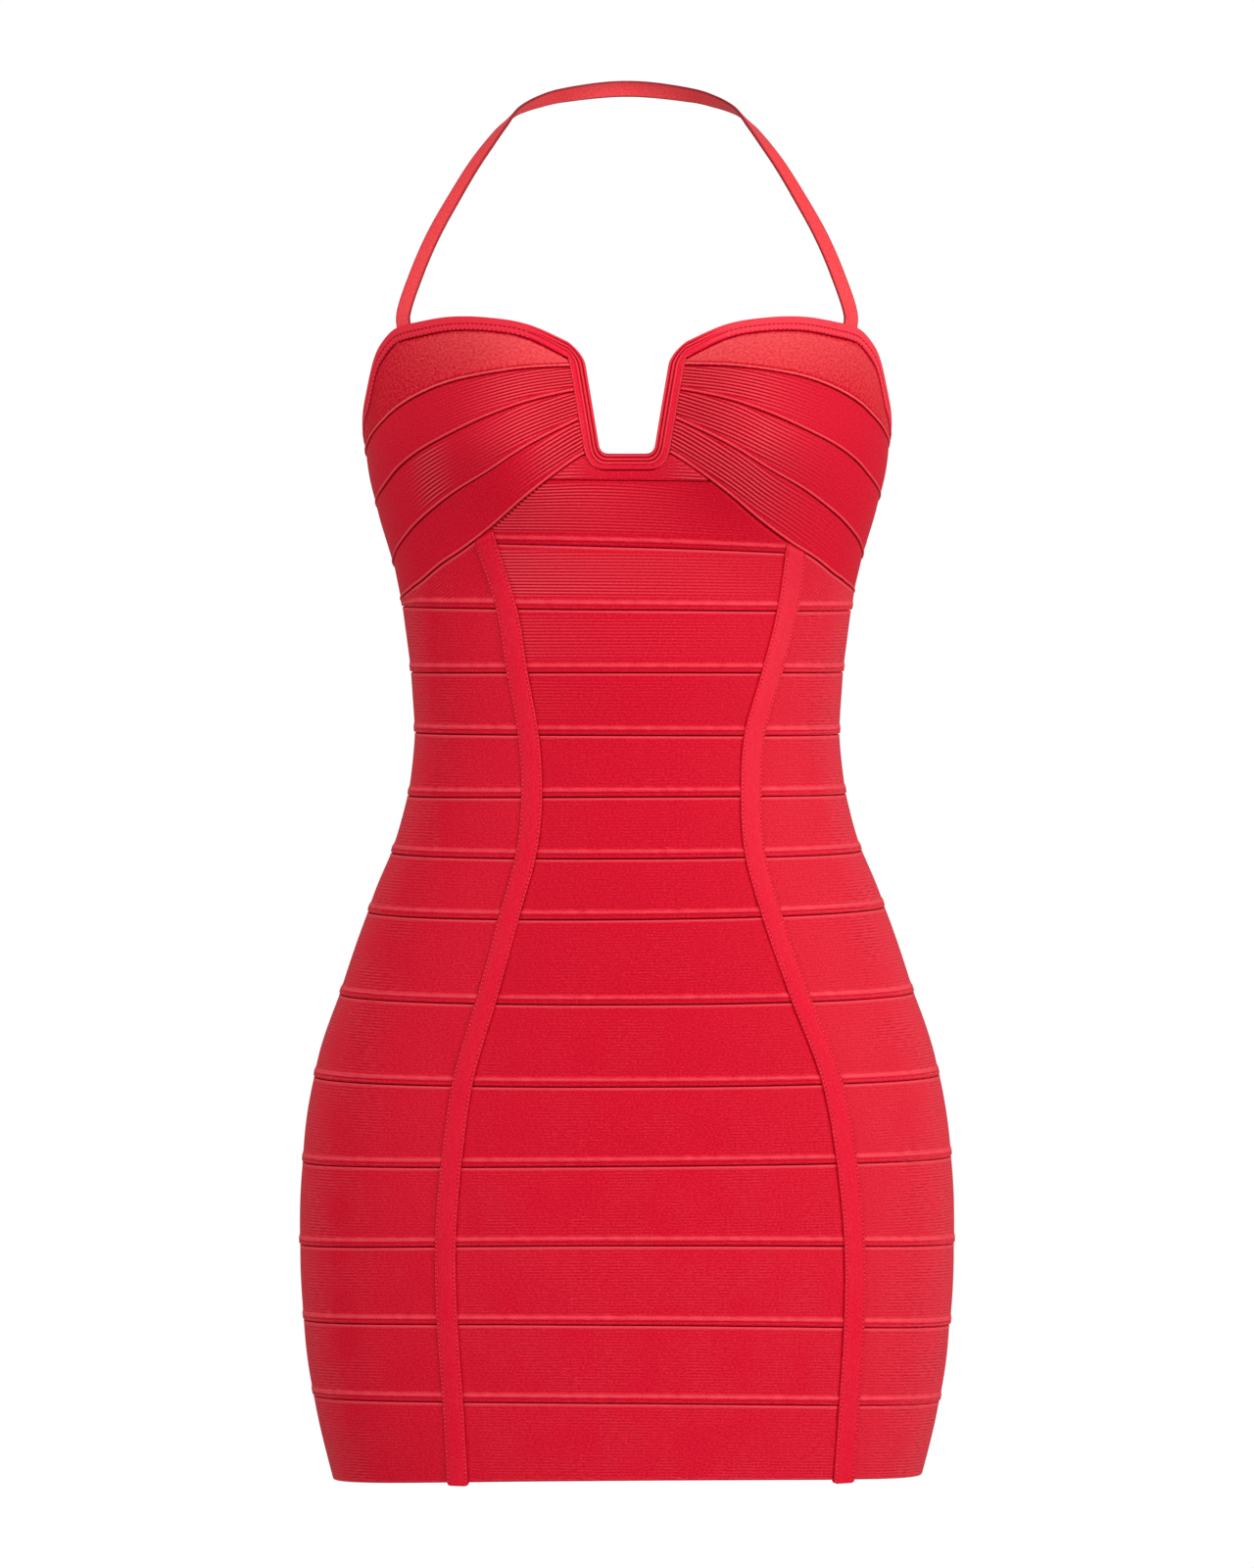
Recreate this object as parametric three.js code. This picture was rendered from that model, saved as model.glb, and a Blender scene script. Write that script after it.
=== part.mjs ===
import * as THREE from "three";

// Halter bodycon dress in stretch bandage knit, size small, filled out with no wearer.
// Millimetres, +Z up, the front faces -Y. The origin is the nape, on the inner face of the strap.
// A drop is a distance below the origin. An angle is in degrees round the body, from 0 at the
// front centre to 90 at the viewer's right side and 180 at the back.

// Cloth
const wall = 1.4;
const seamGap = 0.3;
const tapeGap = 0.8;
const ridgeRise = 1.3;
const ridgeDepth = 5.5;
const ridgeSlope = 1.4;

// Trims
const tapeWidth = 10;
const tapeRise = 1.2;
const tapeTail = 1.6;
const bindingWidth = 8.8;
const bindingRise = 0.8;
const ribPitch = 2;
const ribRise = 1.6;
const ribValley = 0.8;
const strapWidth = 9.2;
const strapThickness = 1.6;
const strapSeat = 0.5;

// Construction lines
const sideSeam = 92;
const cupStart = 9;
const cupLean = 2.2;
const sectionPower = 2.2;

// Colours
const knitRed = "#cf1a30";
const trimRed = "#d92137";
const strapRed = "#e8474f";

// Level sections of the filled dress: half its width, where its middle lies from front to back,
// and how far the front and the back stand from that middle.
const sectionColumns = { half: 1, middle: 2, front: 3, back: 4 };
const sections = [
  [110, 142.5, -88, 76, 96],
  [130, 145.5, -89, 82, 100],
  [151, 146.8, -90, 88, 102],
  [195, 147.4, -90, 96, 105],
  [217, 145, -90, 97, 105],
  [239, 139.8, -91, 96, 103],
  [261, 133.2, -92, 94, 100],
  [283, 127.8, -93, 91, 97],
  [327, 121.6, -96, 87.5, 88],
  [371, 119.4, -98, 86, 82],
  [415, 126.8, -98, 89, 86],
  [460, 144.1, -95, 95, 96],
  [504, 159.2, -91, 101, 108],
  [548, 173.9, -88, 105, 117],
  [592, 181.6, -86, 107.5, 121],
  [642, 184.4, -85, 108, 121.5],
  [692, 182.6, -85, 106, 117],
  [736, 177.2, -86, 102.5, 111],
  [786, 165.7, -88, 97.5, 103],
];

// The two cups swell out of the sections
const cup = { out: 72, drop: 195, rise: 30, width: 46, above: 62, below: 44 };

// Drops of the cup lines at angles from the front centre: the top edge and the four band seams
const cupColumns = { edge: 1, first: 2, second: 3, third: 4, hem: 5 };
const cupLines = [
  [8, 150.5, 158.4, 171.5, 187, 207],
  [11, 145.5, 158.4, 172.6, 190.8, 212],
  [20, 135.6, 159.3, 177.8, 202.2, 228],
  [30, 131.8, 162.2, 186, 216, 245],
  [40, 131.3, 166.5, 195.2, 227, 257.5],
  [50, 133.8, 173.2, 204.1, 237.8, 266.5],
  [60, 137.4, 181.5, 213.8, 247.5, 275],
  [66, 143.6, 187.5, 220, 252.8, 278.6],
  [72, 153, 193, 225, 257.3, 281.8],
  [80, 174, 200, 230, 263, 284.8],
  [92, 192, 207, 236, 269, 288.5],
];

// The low back edge goes on from the side seam
const backEdge = [
  [92, 192],
  [100, 199],
  [115, 207],
  [140, 216],
  [165, 221],
  [180, 222],
];

// Drops of the level seams at the left side, the front centre and the right side
const seams = {
  breastbone: [222, 221.4, 225],
  midriff: [256.5, 258, 265],
  underbust: [292.7, 292.8, 294.9],
  ribs: [329.5, 327.4, 329.5],
  aboveWaist: [363.3, 362, 364.2],
  waist: [398.8, 396, 397.7],
  belowWaist: [430.8, 430, 429.7],
  upperHip: [464.1, 463.4, 461.3],
  hip: [510.7, 510.4, 509.6],
  seat: [557.4, 555.8, 556.3],
  lowerSeat: [605.7, 599.7, 602.4],
  upperThigh: [652.4, 643.7, 651.8],
  thigh: [695.1, 687.9, 697.8],
  lowerThigh: [737.7, 731.6, 741],
  hem: [785.4, 775.2, 782.8],
};
const upperBackSeam = 260;

// Centres of the two vertical tapes, left and right of the front centre
const tapeColumns = { left: 1, right: 2 };
const tapes = [
  [250, -80, 94.5],
  [292, -66.5, 89],
  [328, -60.5, 80],
  [362, -54.5, 70.5],
  [395, -52.5, 68.5],
  [427, -55.5, 70.5],
  [462, -65, 80],
  [508, -77.5, 96],
  [553, -90.5, 113],
  [598, -97, 121.5],
  [645, -100.5, 126],
  [688, -99.5, 126],
  [732, -96.5, 123.5],
  [786, -93.5, 120],
];

// The squared notch between the cups: its upper and lower corners and how far each is rounded
const notch = {
  top: { out: 23.9, drop: 152, round: 7 },
  bottom: { out: 14.7, drop: 206.8, round: 5 },
};

// Inner face of the halter strap above the right cup, up to the nape, mirrored for the left.
// Its outer face turns about its length, from 0 at the front over its outer side to 180 at the back.
const strapBase = 58;
const strapColumns = { x: 0, y: 1, z: 2, facing: 3 };
const strapRoute = [
  [124, -131, -129.5, 29],
  [117, -124, -107.6, 31],
  [107.7, -115, -85.7, 34],
  [95.7, -103, -63.7, 40],
  [85.8, -92, -47, 47],
  [78.2, -84, -35.9, 54],
  [70, -66.5, -24.5, 67],
  [65.3, -54.5, -18.7, 85],
  [62.1, -47, -15.4, 99],
  [57.9, -39, -12.5, 112],
  [49.8, -27, -8.7, 129],
  [37.3, -13.5, -4.7, 146],
  [0, 0, 0, 180],
];

const radians = (angle) => (angle * Math.PI) / 180;
const degrees = (turn) => (turn * 180) / Math.PI;
const mix = (a, b, t) => a + (b - a) * t;
const sharpen = (value, power) => Math.sign(value) * Math.abs(value) ** power;

// A smooth reading between the rows of a table, by its first column
function read(rows, column, key) {
  const last = rows.length - 1;
  let i = 0;
  while (i < last - 1 && key > rows[i + 1][0]) i++;
  const slopeAt = (k) => {
    const a = rows[Math.max(k - 1, 0)];
    const b = rows[Math.min(k + 1, last)];
    return (b[column] - a[column]) / (b[0] - a[0]);
  };
  const span = rows[i + 1][0] - rows[i][0];
  const t = Math.min(Math.max((key - rows[i][0]) / span, 0), 1);
  const eased = t * t * (3 - 2 * t);
  const startPull = t * (1 - t) * (1 - t) * span * slopeAt(i);
  const endPull = t * t * (t - 1) * span * slopeAt(i + 1);
  return mix(rows[i][column], rows[i + 1][column], eased) + startPull + endPull;
}

// Places on the form of the dress
function cupSwell(x, drop) {
  const reach = drop < cup.drop ? cup.above : cup.below;
  const level = ((drop - cup.drop) / reach) ** 2;
  const swellAt = (side) => Math.exp(-(((x - side * cup.out) / cup.width) ** 2) - level);
  return cup.rise * (swellAt(-1) + swellAt(1));
}

function formPoint(angle, drop) {
  const half = read(sections, sectionColumns.half, drop);
  const middle = read(sections, sectionColumns.middle, drop);
  const across = sharpen(Math.sin(radians(angle)), 2 / sectionPower);
  const along = sharpen(Math.cos(radians(angle)), 2 / sectionPower);
  const isFront = along > 0;
  const depth = read(sections, isFront ? sectionColumns.front : sectionColumns.back, drop);
  const x = half * across;
  const swell = isFront ? cupSwell(x, drop) * Math.min(1, 4 * along) : 0;
  return new THREE.Vector3(x, middle - depth * along - swell, -drop);
}

function liftedPoint(angle, drop, lift) {
  const turn = formPoint(angle + 0.5, drop).sub(formPoint(angle - 0.5, drop));
  const fall = formPoint(angle, drop + 1).sub(formPoint(angle, drop - 1));
  const outward = fall.cross(turn).normalize();
  return formPoint(angle, drop).addScaledVector(outward, lift);
}

function angleAt(x, drop) {
  const half = read(sections, sectionColumns.half, drop);
  const share = Math.min(Math.abs(x) / half, 1);
  return Math.sign(x) * degrees(Math.asin(share ** (sectionPower / 2)));
}

// Seams and edges, each a drop for an angle
function folded(angle) {
  const turn = ((angle % 360) + 360) % 360;
  return turn > 180 ? turn - 360 : turn;
}

const lean = (angle) => -cupLean * Math.sin(radians(angle));

function cupLine(name) {
  return (angle) => read(cupLines, cupColumns[name], Math.abs(folded(angle))) + lean(angle);
}

function topEdge(angle) {
  const away = Math.abs(folded(angle));
  return away < sideSeam ? read(cupLines, cupColumns.edge, away) : read(backEdge, 1, away);
}

function bindingLow(angle) {
  const drop = topEdge(angle);
  const arc = formPoint(angle + 1, drop).distanceTo(formPoint(angle - 1, drop));
  const steepness = (topEdge(angle + 1) - topEdge(angle - 1)) / arc;
  const stretch = formPoint(angle, drop + 1).distanceTo(formPoint(angle, drop));
  return drop + (bindingWidth * Math.sqrt(1 + steepness ** 2)) / stretch;
}

// A level seam passes through its three drops and through their side average at the back
function seam(name) {
  const [left, front, right] = seams[name];
  const sides = (left + right) / 2;
  return (angle) => {
    const turn = radians(angle);
    const even = (front + 3 * sides) / 4 + ((front - sides) / 2) * Math.cos(turn);
    const twist = ((right - left) / 2) * Math.sin(turn);
    return even + twist + ((front - sides) / 4) * Math.cos(2 * turn);
  };
}

const below = (line) => (angle) => line(angle) + seamGap;

// Upright limits, each an angle for a drop
function tapeSide(side, offset) {
  return (drop) => angleAt(read(tapes, tapeColumns[side], drop) + offset, drop);
}

function cupHemAngle(sign, drop) {
  const hem = cupLine("hem");
  let near = cupStart;
  let far = sideSeam;
  for (let i = 0; i < 30; i++) {
    const middle = (near + far) / 2;
    if (hem(sign * middle) + 3 * seamGap < drop) near = middle;
    else far = middle;
  }
  return sign * near;
}

const halfTape = tapeWidth / 2;
const besideTape = halfTape + tapeGap;

function frontLimit(side) {
  const sign = side === "left" ? -1 : 1;
  const tape = tapeSide(side, -sign * besideTape);
  return (drop) => sign * Math.min(Math.abs(tape(drop)), Math.abs(cupHemAngle(sign, drop)));
}

// The notch narrows evenly from its upper to its lower corners
const notchSlope = (notch.top.out - notch.bottom.out) / (notch.bottom.drop - notch.top.drop);

function notchOut(drop, offset) {
  const level = offset * Math.sqrt(1 + notchSlope ** 2);
  return notch.bottom.out + notchSlope * (notch.bottom.drop - drop) + level;
}

// The cup bands and the top binding start beside the notch binding
function notchLimit(sign) {
  return (drop) => angleAt(sign * notchOut(drop, bindingWidth + seamGap), drop);
}

// A panel lies between two edges and two limits. Its u runs along it and its v down it.
function panelPlace(panel, u, v) {
  let angle = mix(panel.start(panel.top(0)), panel.end(panel.top(0)), u);
  let drop = panel.top(angle);
  for (let i = 0; i < 12; i++) {
    drop = mix(panel.top(angle), panel.bottom(angle), v);
    angle = mix(panel.start(drop), panel.end(drop), u);
  }
  return { angle, drop };
}

function panelRings(panel, profile, steps) {
  const rings = [];
  for (let i = 0; i <= steps; i++) {
    const u = i / steps;
    const depth = panelPlace(panel, u, 1).drop - panelPlace(panel, u, 0).drop;
    const ring = profile(depth).map(([v, lift]) => {
      const { angle, drop } = panelPlace(panel, u, v);
      return liftedPoint(angle, drop, lift);
    });
    rings.push(ring);
  }
  return rings;
}

// Wall profiles, each a closed loop of shares down the panel and lifts off the form
function bandProfile(depth) {
  const ridge = Math.min(ridgeDepth, depth * 0.5);
  const crest = 1 - ridge / depth;
  const foot = crest - Math.min(ridgeSlope / depth, crest / 2);
  const lip = 1 - (ridge / depth) * 0.2;
  return [
    [0, 0],
    [foot / 2, 0],
    [foot, 0],
    [crest, ridgeRise],
    [lip, ridgeRise],
    [1, ridgeRise / 2],
    [1, -wall],
    [foot / 2, -wall],
    [0, -wall],
  ];
}

function bindingProfile() {
  return [
    [0, bindingRise / 2],
    [0.12, bindingRise],
    [0.88, bindingRise],
    [1, bindingRise / 2],
    [1, -wall],
    [0, -wall],
  ];
}

function tapeProfile() {
  return [
    [0, tapeRise / 2],
    [0.1, tapeRise],
    [0.9, tapeRise],
    [1, tapeRise / 2],
    [1, -wall],
    [0, -wall],
  ];
}

// Closed solids from rings of points
function solid(rings) {
  const size = rings[0].length;
  const positions = rings.flat().flatMap((point) => point.toArray());
  const index = [];
  for (let i = 0; i < rings.length - 1; i++) {
    for (let k = 0; k < size; k++) {
      const a = i * size + k;
      const b = i * size + ((k + 1) % size);
      index.push(a, b, b + size, a, b + size, a + size);
    }
  }
  const lastRing = (rings.length - 1) * size;
  for (const [p, q, r] of capTriangles(rings[0])) {
    index.push(r, q, p);
    index.push(lastRing + p, lastRing + q, lastRing + r);
  }
  const geometry = new THREE.BufferGeometry();
  geometry.setAttribute("position", new THREE.Float32BufferAttribute(positions, 3));
  geometry.setIndex(signedVolume(positions, index) < 0 ? index.reverse() : index);
  geometry.computeVertexNormals();
  return geometry;
}

// A ring is flattened on its own plane, and its triangles keep the ring's order
function capTriangles(ring) {
  const normal = new THREE.Vector3();
  ring.forEach((point, k) => {
    const next = ring[(k + 1) % ring.length];
    normal.add(new THREE.Vector3().crossVectors(point, next));
  });
  normal.normalize();
  const right = new THREE.Vector3().subVectors(ring[1], ring[0]).normalize();
  const up = new THREE.Vector3().crossVectors(normal, right);
  const flat = ring.map((point) => new THREE.Vector2(point.dot(right), point.dot(up)));
  return THREE.ShapeUtils.triangulateShape(flat, []);
}

function signedVolume(positions, index) {
  const corner = (k) => new THREE.Vector3().fromArray(positions, 3 * index[k]);
  let volume = 0;
  for (let k = 0; k < index.length; k += 3) {
    volume += corner(k).dot(corner(k + 1).cross(corner(k + 2)));
  }
  return volume;
}

const dress = new THREE.Group();

function add(name, geometry, colour = knitRed) {
  const cloth = new THREE.MeshStandardMaterial({ color: colour, roughness: 0.8, metalness: 0 });
  const mesh = new THREE.Mesh(geometry, cloth);
  mesh.name = name;
  dress.add(mesh);
}

const numbered = (name, i) => name + "_" + String(i).padStart(2, "0");
const seamNames = Object.keys(seams);

// Bands between the tapes, and between the cups above them
function addFrontBands() {
  const start = frontLimit("left");
  const end = frontLimit("right");
  for (let i = 1; i < seamNames.length; i++) {
    const top = below(seam(seamNames[i - 1]));
    const bottom = seam(seamNames[i]);
    add(numbered("front_band", i), solid(panelRings({ top, bottom, start, end }, bandProfile, 8)));
  }
}

// The small piece under the notch reaches up to the notch binding and the cups
function addNotchBand() {
  const clear = 3 * seamGap;
  const base = notch.bottom.drop + bindingWidth;
  const corner = notchOut(base, bindingWidth);
  const heel = corner - notch.bottom.round - bindingWidth / 2;
  const cornerRise = 5;
  const hem = cupLine("hem");
  const top = (angle) => {
    const out = Math.abs(formPoint(angle, base).x);
    const past = Math.max(out - heel, 0) / (corner - heel);
    return Math.max(base - cornerRise * past ** 2, hem(angle)) + clear;
  };
  const bottom = seam("breastbone");
  const reach = 0.9 * cupHemAngle(1, bottom(0));
  const panel = { top, bottom, start: () => -reach, end: () => reach };
  add("notch_band", solid(panelRings(panel, bandProfile, 24)));
}

// Bands from the right tape round the back to the left tape
function addWrapBands() {
  const start = tapeSide("right", besideTape);
  const leftTape = tapeSide("left", -besideTape);
  const end = (drop) => leftTape(drop) + 360;
  const first = seamNames.indexOf("underbust");
  for (let i = first + 1; i < seamNames.length; i++) {
    const top = below(seam(seamNames[i - 1]));
    const bottom = seam(seamNames[i]);
    const panel = { top, bottom, start, end };
    add(numbered("wrap_band", i - first), solid(panelRings(panel, bandProfile, 24)));
  }
}

// Small pieces between the cups, the tapes and the side seams
function addSidePieces() {
  const top = below(cupLine("hem"));
  const bottom = seam("underbust");
  const right = { top, bottom, start: tapeSide("right", besideTape), end: () => sideSeam };
  const left = { top, bottom, start: () => -sideSeam, end: tapeSide("left", -besideTape) };
  add("side_piece_left", solid(panelRings(left, bandProfile, 8)));
  add("side_piece_right", solid(panelRings(right, bandProfile, 8)));
}

// The low back above the first wrap band
function addUpperBack() {
  const start = () => sideSeam + seamGap;
  const end = () => 360 - sideSeam - seamGap;
  const middle = () => upperBackSeam;
  const upper = { top: below(bindingLow), bottom: middle, start, end };
  const lower = { top: below(middle), bottom: seam("underbust"), start, end };
  add("back_band_upper", solid(panelRings(upper, bandProfile, 16)));
  add("back_band_lower", solid(panelRings(lower, bandProfile, 16)));
}

function addCups() {
  const names = ["first", "second", "third", "hem"];
  for (const [side, sign] of [["left", -1], ["right", 1]]) {
    const limits = { start: notchLimit(sign), end: () => sign * sideSeam };
    names.forEach((name, i) => {
      const top = i ? cupLine(names[i - 1]) : bindingLow;
      const panel = { top: below(top), bottom: cupLine(name), ...limits };
      add(numbered("cup_band_" + side, i + 1), solid(panelRings(panel, bandProfile, 13)));
    });
    const binding = { top: topEdge, bottom: bindingLow, ...limits };
    add("top_binding_" + side, solid(panelRings(binding, bindingProfile, 13)), trimRed);
  }
}

function addBackBinding() {
  const start = () => sideSeam + seamGap;
  const end = () => 360 - sideSeam - seamGap;
  const panel = { top: topEdge, bottom: bindingLow, start, end };
  add("back_binding", solid(panelRings(panel, bindingProfile, 16)), trimRed);
}

// The tapes run from the cups to just under the hem
function addTapes() {
  const steps = 34;
  for (const side of ["left", "right"]) {
    const middle = tapeSide(side, 0);
    const cupHem = cupLine("hem");
    const start = cupHem(middle(read(tapes, 0, tapes[0][0]))) + 3 * seamGap;
    const end = seam("hem")(middle(tapes.at(-1)[0])) + tapeTail;
    const rings = [];
    for (let i = 0; i <= steps; i++) {
      const drop = mix(start, end, i / steps);
      const ring = tapeProfile().map(([share, lift]) => {
        const offset = mix(-halfTape, halfTape, share);
        const angle = tapeSide(side, offset)(drop);
        const slant = i ? 0 : cupHem(angle) + 3 * seamGap - start;
        return liftedPoint(angle, drop + slant, lift);
      });
      rings.push(ring);
    }
    add("tape_" + side, solid(rings), trimRed);
  }
}

// The ribbed binding turns round the notch from cup to cup. Each bend has three points on the
// notch's edge and three on the binding's outer line, and runs as a parabola between them.
function notchBends(sign) {
  const { top, bottom } = notch;
  const spot = (out, drop) => new THREE.Vector2(sign * out, drop);
  const side = (drop, offset) => spot(notchOut(drop, offset), drop);
  const mouthOut = notchOut(top.drop, bindingWidth);
  const mouthAngle = angleAt(sign * mouthOut, top.drop);
  const mouth = spot(mouthOut, topEdge(mouthAngle));
  const shoulder = side(bindingLow(mouthAngle), bindingWidth);
  const base = bottom.drop + bindingWidth;
  const outerRound = bottom.round + bindingWidth / 2;
  const neck = top.drop + top.round;
  const foot = bottom.drop - bottom.round;
  const outerFoot = base - outerRound - bindingWidth / 2;
  const heel = notchOut(bottom.drop, 0) - bottom.round;
  const outerHeel = notchOut(base, bindingWidth) - outerRound;
  const straight = (from, to) => [from, from.clone().lerp(to, 0.5), to];
  return [
    { inner: [mouth, spot(top.out, top.drop), side(neck, 0)],
      outer: straight(shoulder, side(neck, bindingWidth)) },
    { inner: straight(side(neck, 0), side(foot, 0)),
      outer: straight(side(neck, bindingWidth), side(outerFoot, bindingWidth)) },
    { inner: [side(foot, 0), side(bottom.drop, 0), spot(heel, bottom.drop)],
      outer: [side(outerFoot, bindingWidth), side(base, bindingWidth), spot(outerHeel, base)] },
    { inner: straight(spot(heel, bottom.drop), spot(0, bottom.drop)),
      outer: straight(spot(outerHeel, base), spot(0, base)) },
  ];
}

function notchBindingProfile() {
  const ribs = [0, 1, 2];
  const rib = ribPitch / bindingWidth;
  return [
    [0, -wall],
    [0, ribValley],
    ...ribs.flatMap((k) => [
      [(k + 0.5) * rib, ribRise],
      [(k + 1) * rib, ribValley],
    ]),
    [1, ribValley],
    [1, -wall],
  ];
}

function addNotchBinding() {
  const steps = 7;
  const along = ([a, b, c], t) => a.clone().lerp(b, t).lerp(b.clone().lerp(c, t), t);
  const half = (sign) => {
    const rings = [];
    notchBends(sign).forEach(({ inner, outer }, i) => {
      for (let k = i ? 1 : 0; k <= steps; k++) {
        const t = k / steps;
        const edge = along(inner, t);
        const line = along(outer, t);
        const ring = notchBindingProfile().map(([share, lift]) => {
          const at = edge.clone().lerp(line, share);
          return liftedPoint(angleAt(at.x, at.y), at.y, lift);
        });
        rings.push(ring);
      }
    });
    return rings;
  };
  const rings = [...half(-1), ...half(1).slice(0, -1).reverse()];
  add("notch_binding", solid(rings), trimRed);
}

function strapTurns() {
  const seat = (sign) => {
    const angle = sign * strapBase;
    return liftedPoint(angle, topEdge(angle) - strapSeat, -strapThickness / 2);
  };
  const { x, y, z, facing } = strapColumns;
  const rightSide = strapRoute.map((row) => new THREE.Vector3(row[x], row[y], row[z]));
  const leftSide = strapRoute.slice(0, -1).map((row) => new THREE.Vector3(-row[x], row[y], row[z]));
  const rightFacing = [strapRoute[0][facing], ...strapRoute.map((row) => row[facing])];
  const leftFacing = rightFacing.slice(0, -1);
  return {
    route: new THREE.CatmullRomCurve3([seat(1), ...rightSide, ...leftSide.reverse(), seat(-1)]),
    facing: [...rightFacing, ...leftFacing.reverse()],
  };
}

function addStrap() {
  const { route, facing } = strapTurns();
  const steps = 64;
  const rings = [];
  for (let i = 0; i <= steps; i++) {
    const share = route.getUtoTmapping(i / steps) * (facing.length - 1);
    const k = Math.min(Math.floor(share), facing.length - 2);
    const turn = radians(mix(facing[k], facing[k + 1], share - k));
    const at = route.getPointAt(i / steps);
    const along = route.getTangentAt(i / steps);
    const front = new THREE.Vector3(0, -1, 0).addScaledVector(along, along.y).normalize();
    const side = new THREE.Vector3().crossVectors(along, front);
    const outward = front.multiplyScalar(Math.cos(turn)).addScaledVector(side, Math.sin(turn));
    const across = new THREE.Vector3().crossVectors(along, outward);
    const corner = (edge, lift) =>
      at
        .clone()
        .addScaledVector(across, (edge * strapWidth) / 2)
        .addScaledVector(outward, lift * strapThickness);
    rings.push([
      corner(-1, 0.1),
      corner(0, 0),
      corner(1, 0.1),
      corner(1, 0.9),
      corner(0, 1),
      corner(-1, 0.9),
    ]);
  }
  add("halter_strap", solid(rings), strapRed);
}

addFrontBands();
addNotchBand();
addWrapBands();
addSidePieces();
addUpperBack();
addCups();
addBackBinding();
addTapes();
addNotchBinding();
addStrap();

export default dress;
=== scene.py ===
import math

import bmesh
import bpy
import numpy as np
from mathutils import Matrix, Vector


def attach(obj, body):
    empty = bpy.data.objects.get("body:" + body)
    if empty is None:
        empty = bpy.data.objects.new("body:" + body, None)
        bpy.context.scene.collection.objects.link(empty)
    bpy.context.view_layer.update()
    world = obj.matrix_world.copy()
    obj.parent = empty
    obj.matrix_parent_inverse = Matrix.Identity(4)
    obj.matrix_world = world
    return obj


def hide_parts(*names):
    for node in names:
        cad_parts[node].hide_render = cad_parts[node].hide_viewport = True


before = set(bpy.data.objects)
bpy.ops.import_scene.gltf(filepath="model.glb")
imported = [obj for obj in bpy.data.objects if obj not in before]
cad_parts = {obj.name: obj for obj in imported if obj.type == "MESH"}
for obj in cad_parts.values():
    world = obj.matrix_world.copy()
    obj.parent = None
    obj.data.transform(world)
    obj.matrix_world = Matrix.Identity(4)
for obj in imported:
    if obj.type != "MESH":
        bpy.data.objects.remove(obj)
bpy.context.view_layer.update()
mm = 0.001  # tables are in millimetres, meshes in metres
print("frame:", len(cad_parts), "nodes")

# The filled form of the dress. A drop is a distance below the nape. An angle goes round the
# body in degrees: 0 at the front centre, 90 at the viewer's right side, 180 at the back.
form = {
    "power": 2.2,  # how square a level section is
    "half": 1, "middle": 2, "front": 3, "back": 4,  # columns of the sections
    "sections": [
        [110, 142.5, -88, 76, 96],
        [130, 145.5, -89, 82, 100],
        [151, 146.8, -90, 88, 102],
        [195, 147.4, -90, 96, 105],
        [217, 145, -90, 97, 105],
        [239, 139.8, -91, 96, 103],
        [261, 133.2, -92, 94, 100],
        [283, 127.8, -93, 91, 97],
        [327, 121.6, -96, 87.5, 88],
        [371, 119.4, -98, 86, 82],
        [415, 126.8, -98, 89, 86],
        [460, 144.1, -95, 95, 96],
        [504, 159.2, -91, 101, 108],
        [548, 173.9, -88, 105, 117],
        [592, 181.6, -86, 107.5, 121],
        [642, 184.4, -85, 108, 121.5],
        [692, 182.6, -85, 106, 117],
        [736, 177.2, -86, 102.5, 111],
        [786, 165.7, -88, 97.5, 103],
    ],
    "cupOut": 72, "cupDrop": 195, "cupRise": 30, "cupWidth": 46, "cupAbove": 62, "cupBelow": 44,
}


def readTable(rows, column, key):  # a smooth reading between the rows, by their first column
    table = np.array(rows, dtype=float)
    at, value = table[:, 0], table[:, column]
    order = np.arange(len(at))
    ahead, behind = np.minimum(order + 1, len(at) - 1), np.maximum(order - 1, 0)
    slope = (value[ahead] - value[behind]) / (at[ahead] - at[behind])
    key = np.asarray(key, dtype=float)
    i = np.clip(np.searchsorted(at, key) - 1, 0, len(at) - 2)
    span = at[i + 1] - at[i]
    t = np.clip((key - at[i]) / span, 0, 1)
    eased = value[i] + (value[i + 1] - value[i]) * t * t * (3 - 2 * t)
    return eased + span * (t * (1 - t) ** 2 * slope[i] + t * t * (t - 1) * slope[i + 1])


def signedPower(value, power):
    return np.sign(value) * np.abs(value) ** power


def section(name, drop):
    return readTable(form["sections"], form[name], drop)


def cupSwell(x, drop):
    reach = np.where(drop < form["cupDrop"], form["cupAbove"], form["cupBelow"])
    level = ((drop - form["cupDrop"]) / reach) ** 2
    return form["cupRise"] * sum(
        np.exp(-(((x - side * form["cupOut"]) / form["cupWidth"]) ** 2) - level)
        for side in (-1, 1)
    )


def formPoint(angle, drop):
    angle, drop = np.broadcast_arrays(np.asarray(angle, float), np.asarray(drop, float))
    across = signedPower(np.sin(np.radians(angle)), 2 / form["power"])
    along = signedPower(np.cos(np.radians(angle)), 2 / form["power"])
    depth = np.where(along > 0, section("front", drop), section("back", drop))
    x = section("half", drop) * across
    swell = np.where(along > 0, cupSwell(x, drop) * np.minimum(1, 4 * along), 0)
    return np.stack([x, section("middle", drop) - depth * along - swell, -drop], axis=-1)


def unit(vectors):
    return vectors / np.linalg.norm(vectors, axis=-1, keepdims=True)


def liftedPoint(angle, drop, lift):
    turn = formPoint(angle + 0.5, drop) - formPoint(angle - 0.5, drop)
    fall = formPoint(angle, drop + 1) - formPoint(angle, drop - 1)
    outward = unit(np.cross(fall, turn))
    return formPoint(angle, drop) + outward * np.asarray(lift, float)[..., None]


def angleAt(x, drop):
    share = np.minimum(np.abs(x) / section("half", drop), 1)
    return np.sign(x) * np.degrees(np.arcsin(share ** (form["power"] / 2)))


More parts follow.
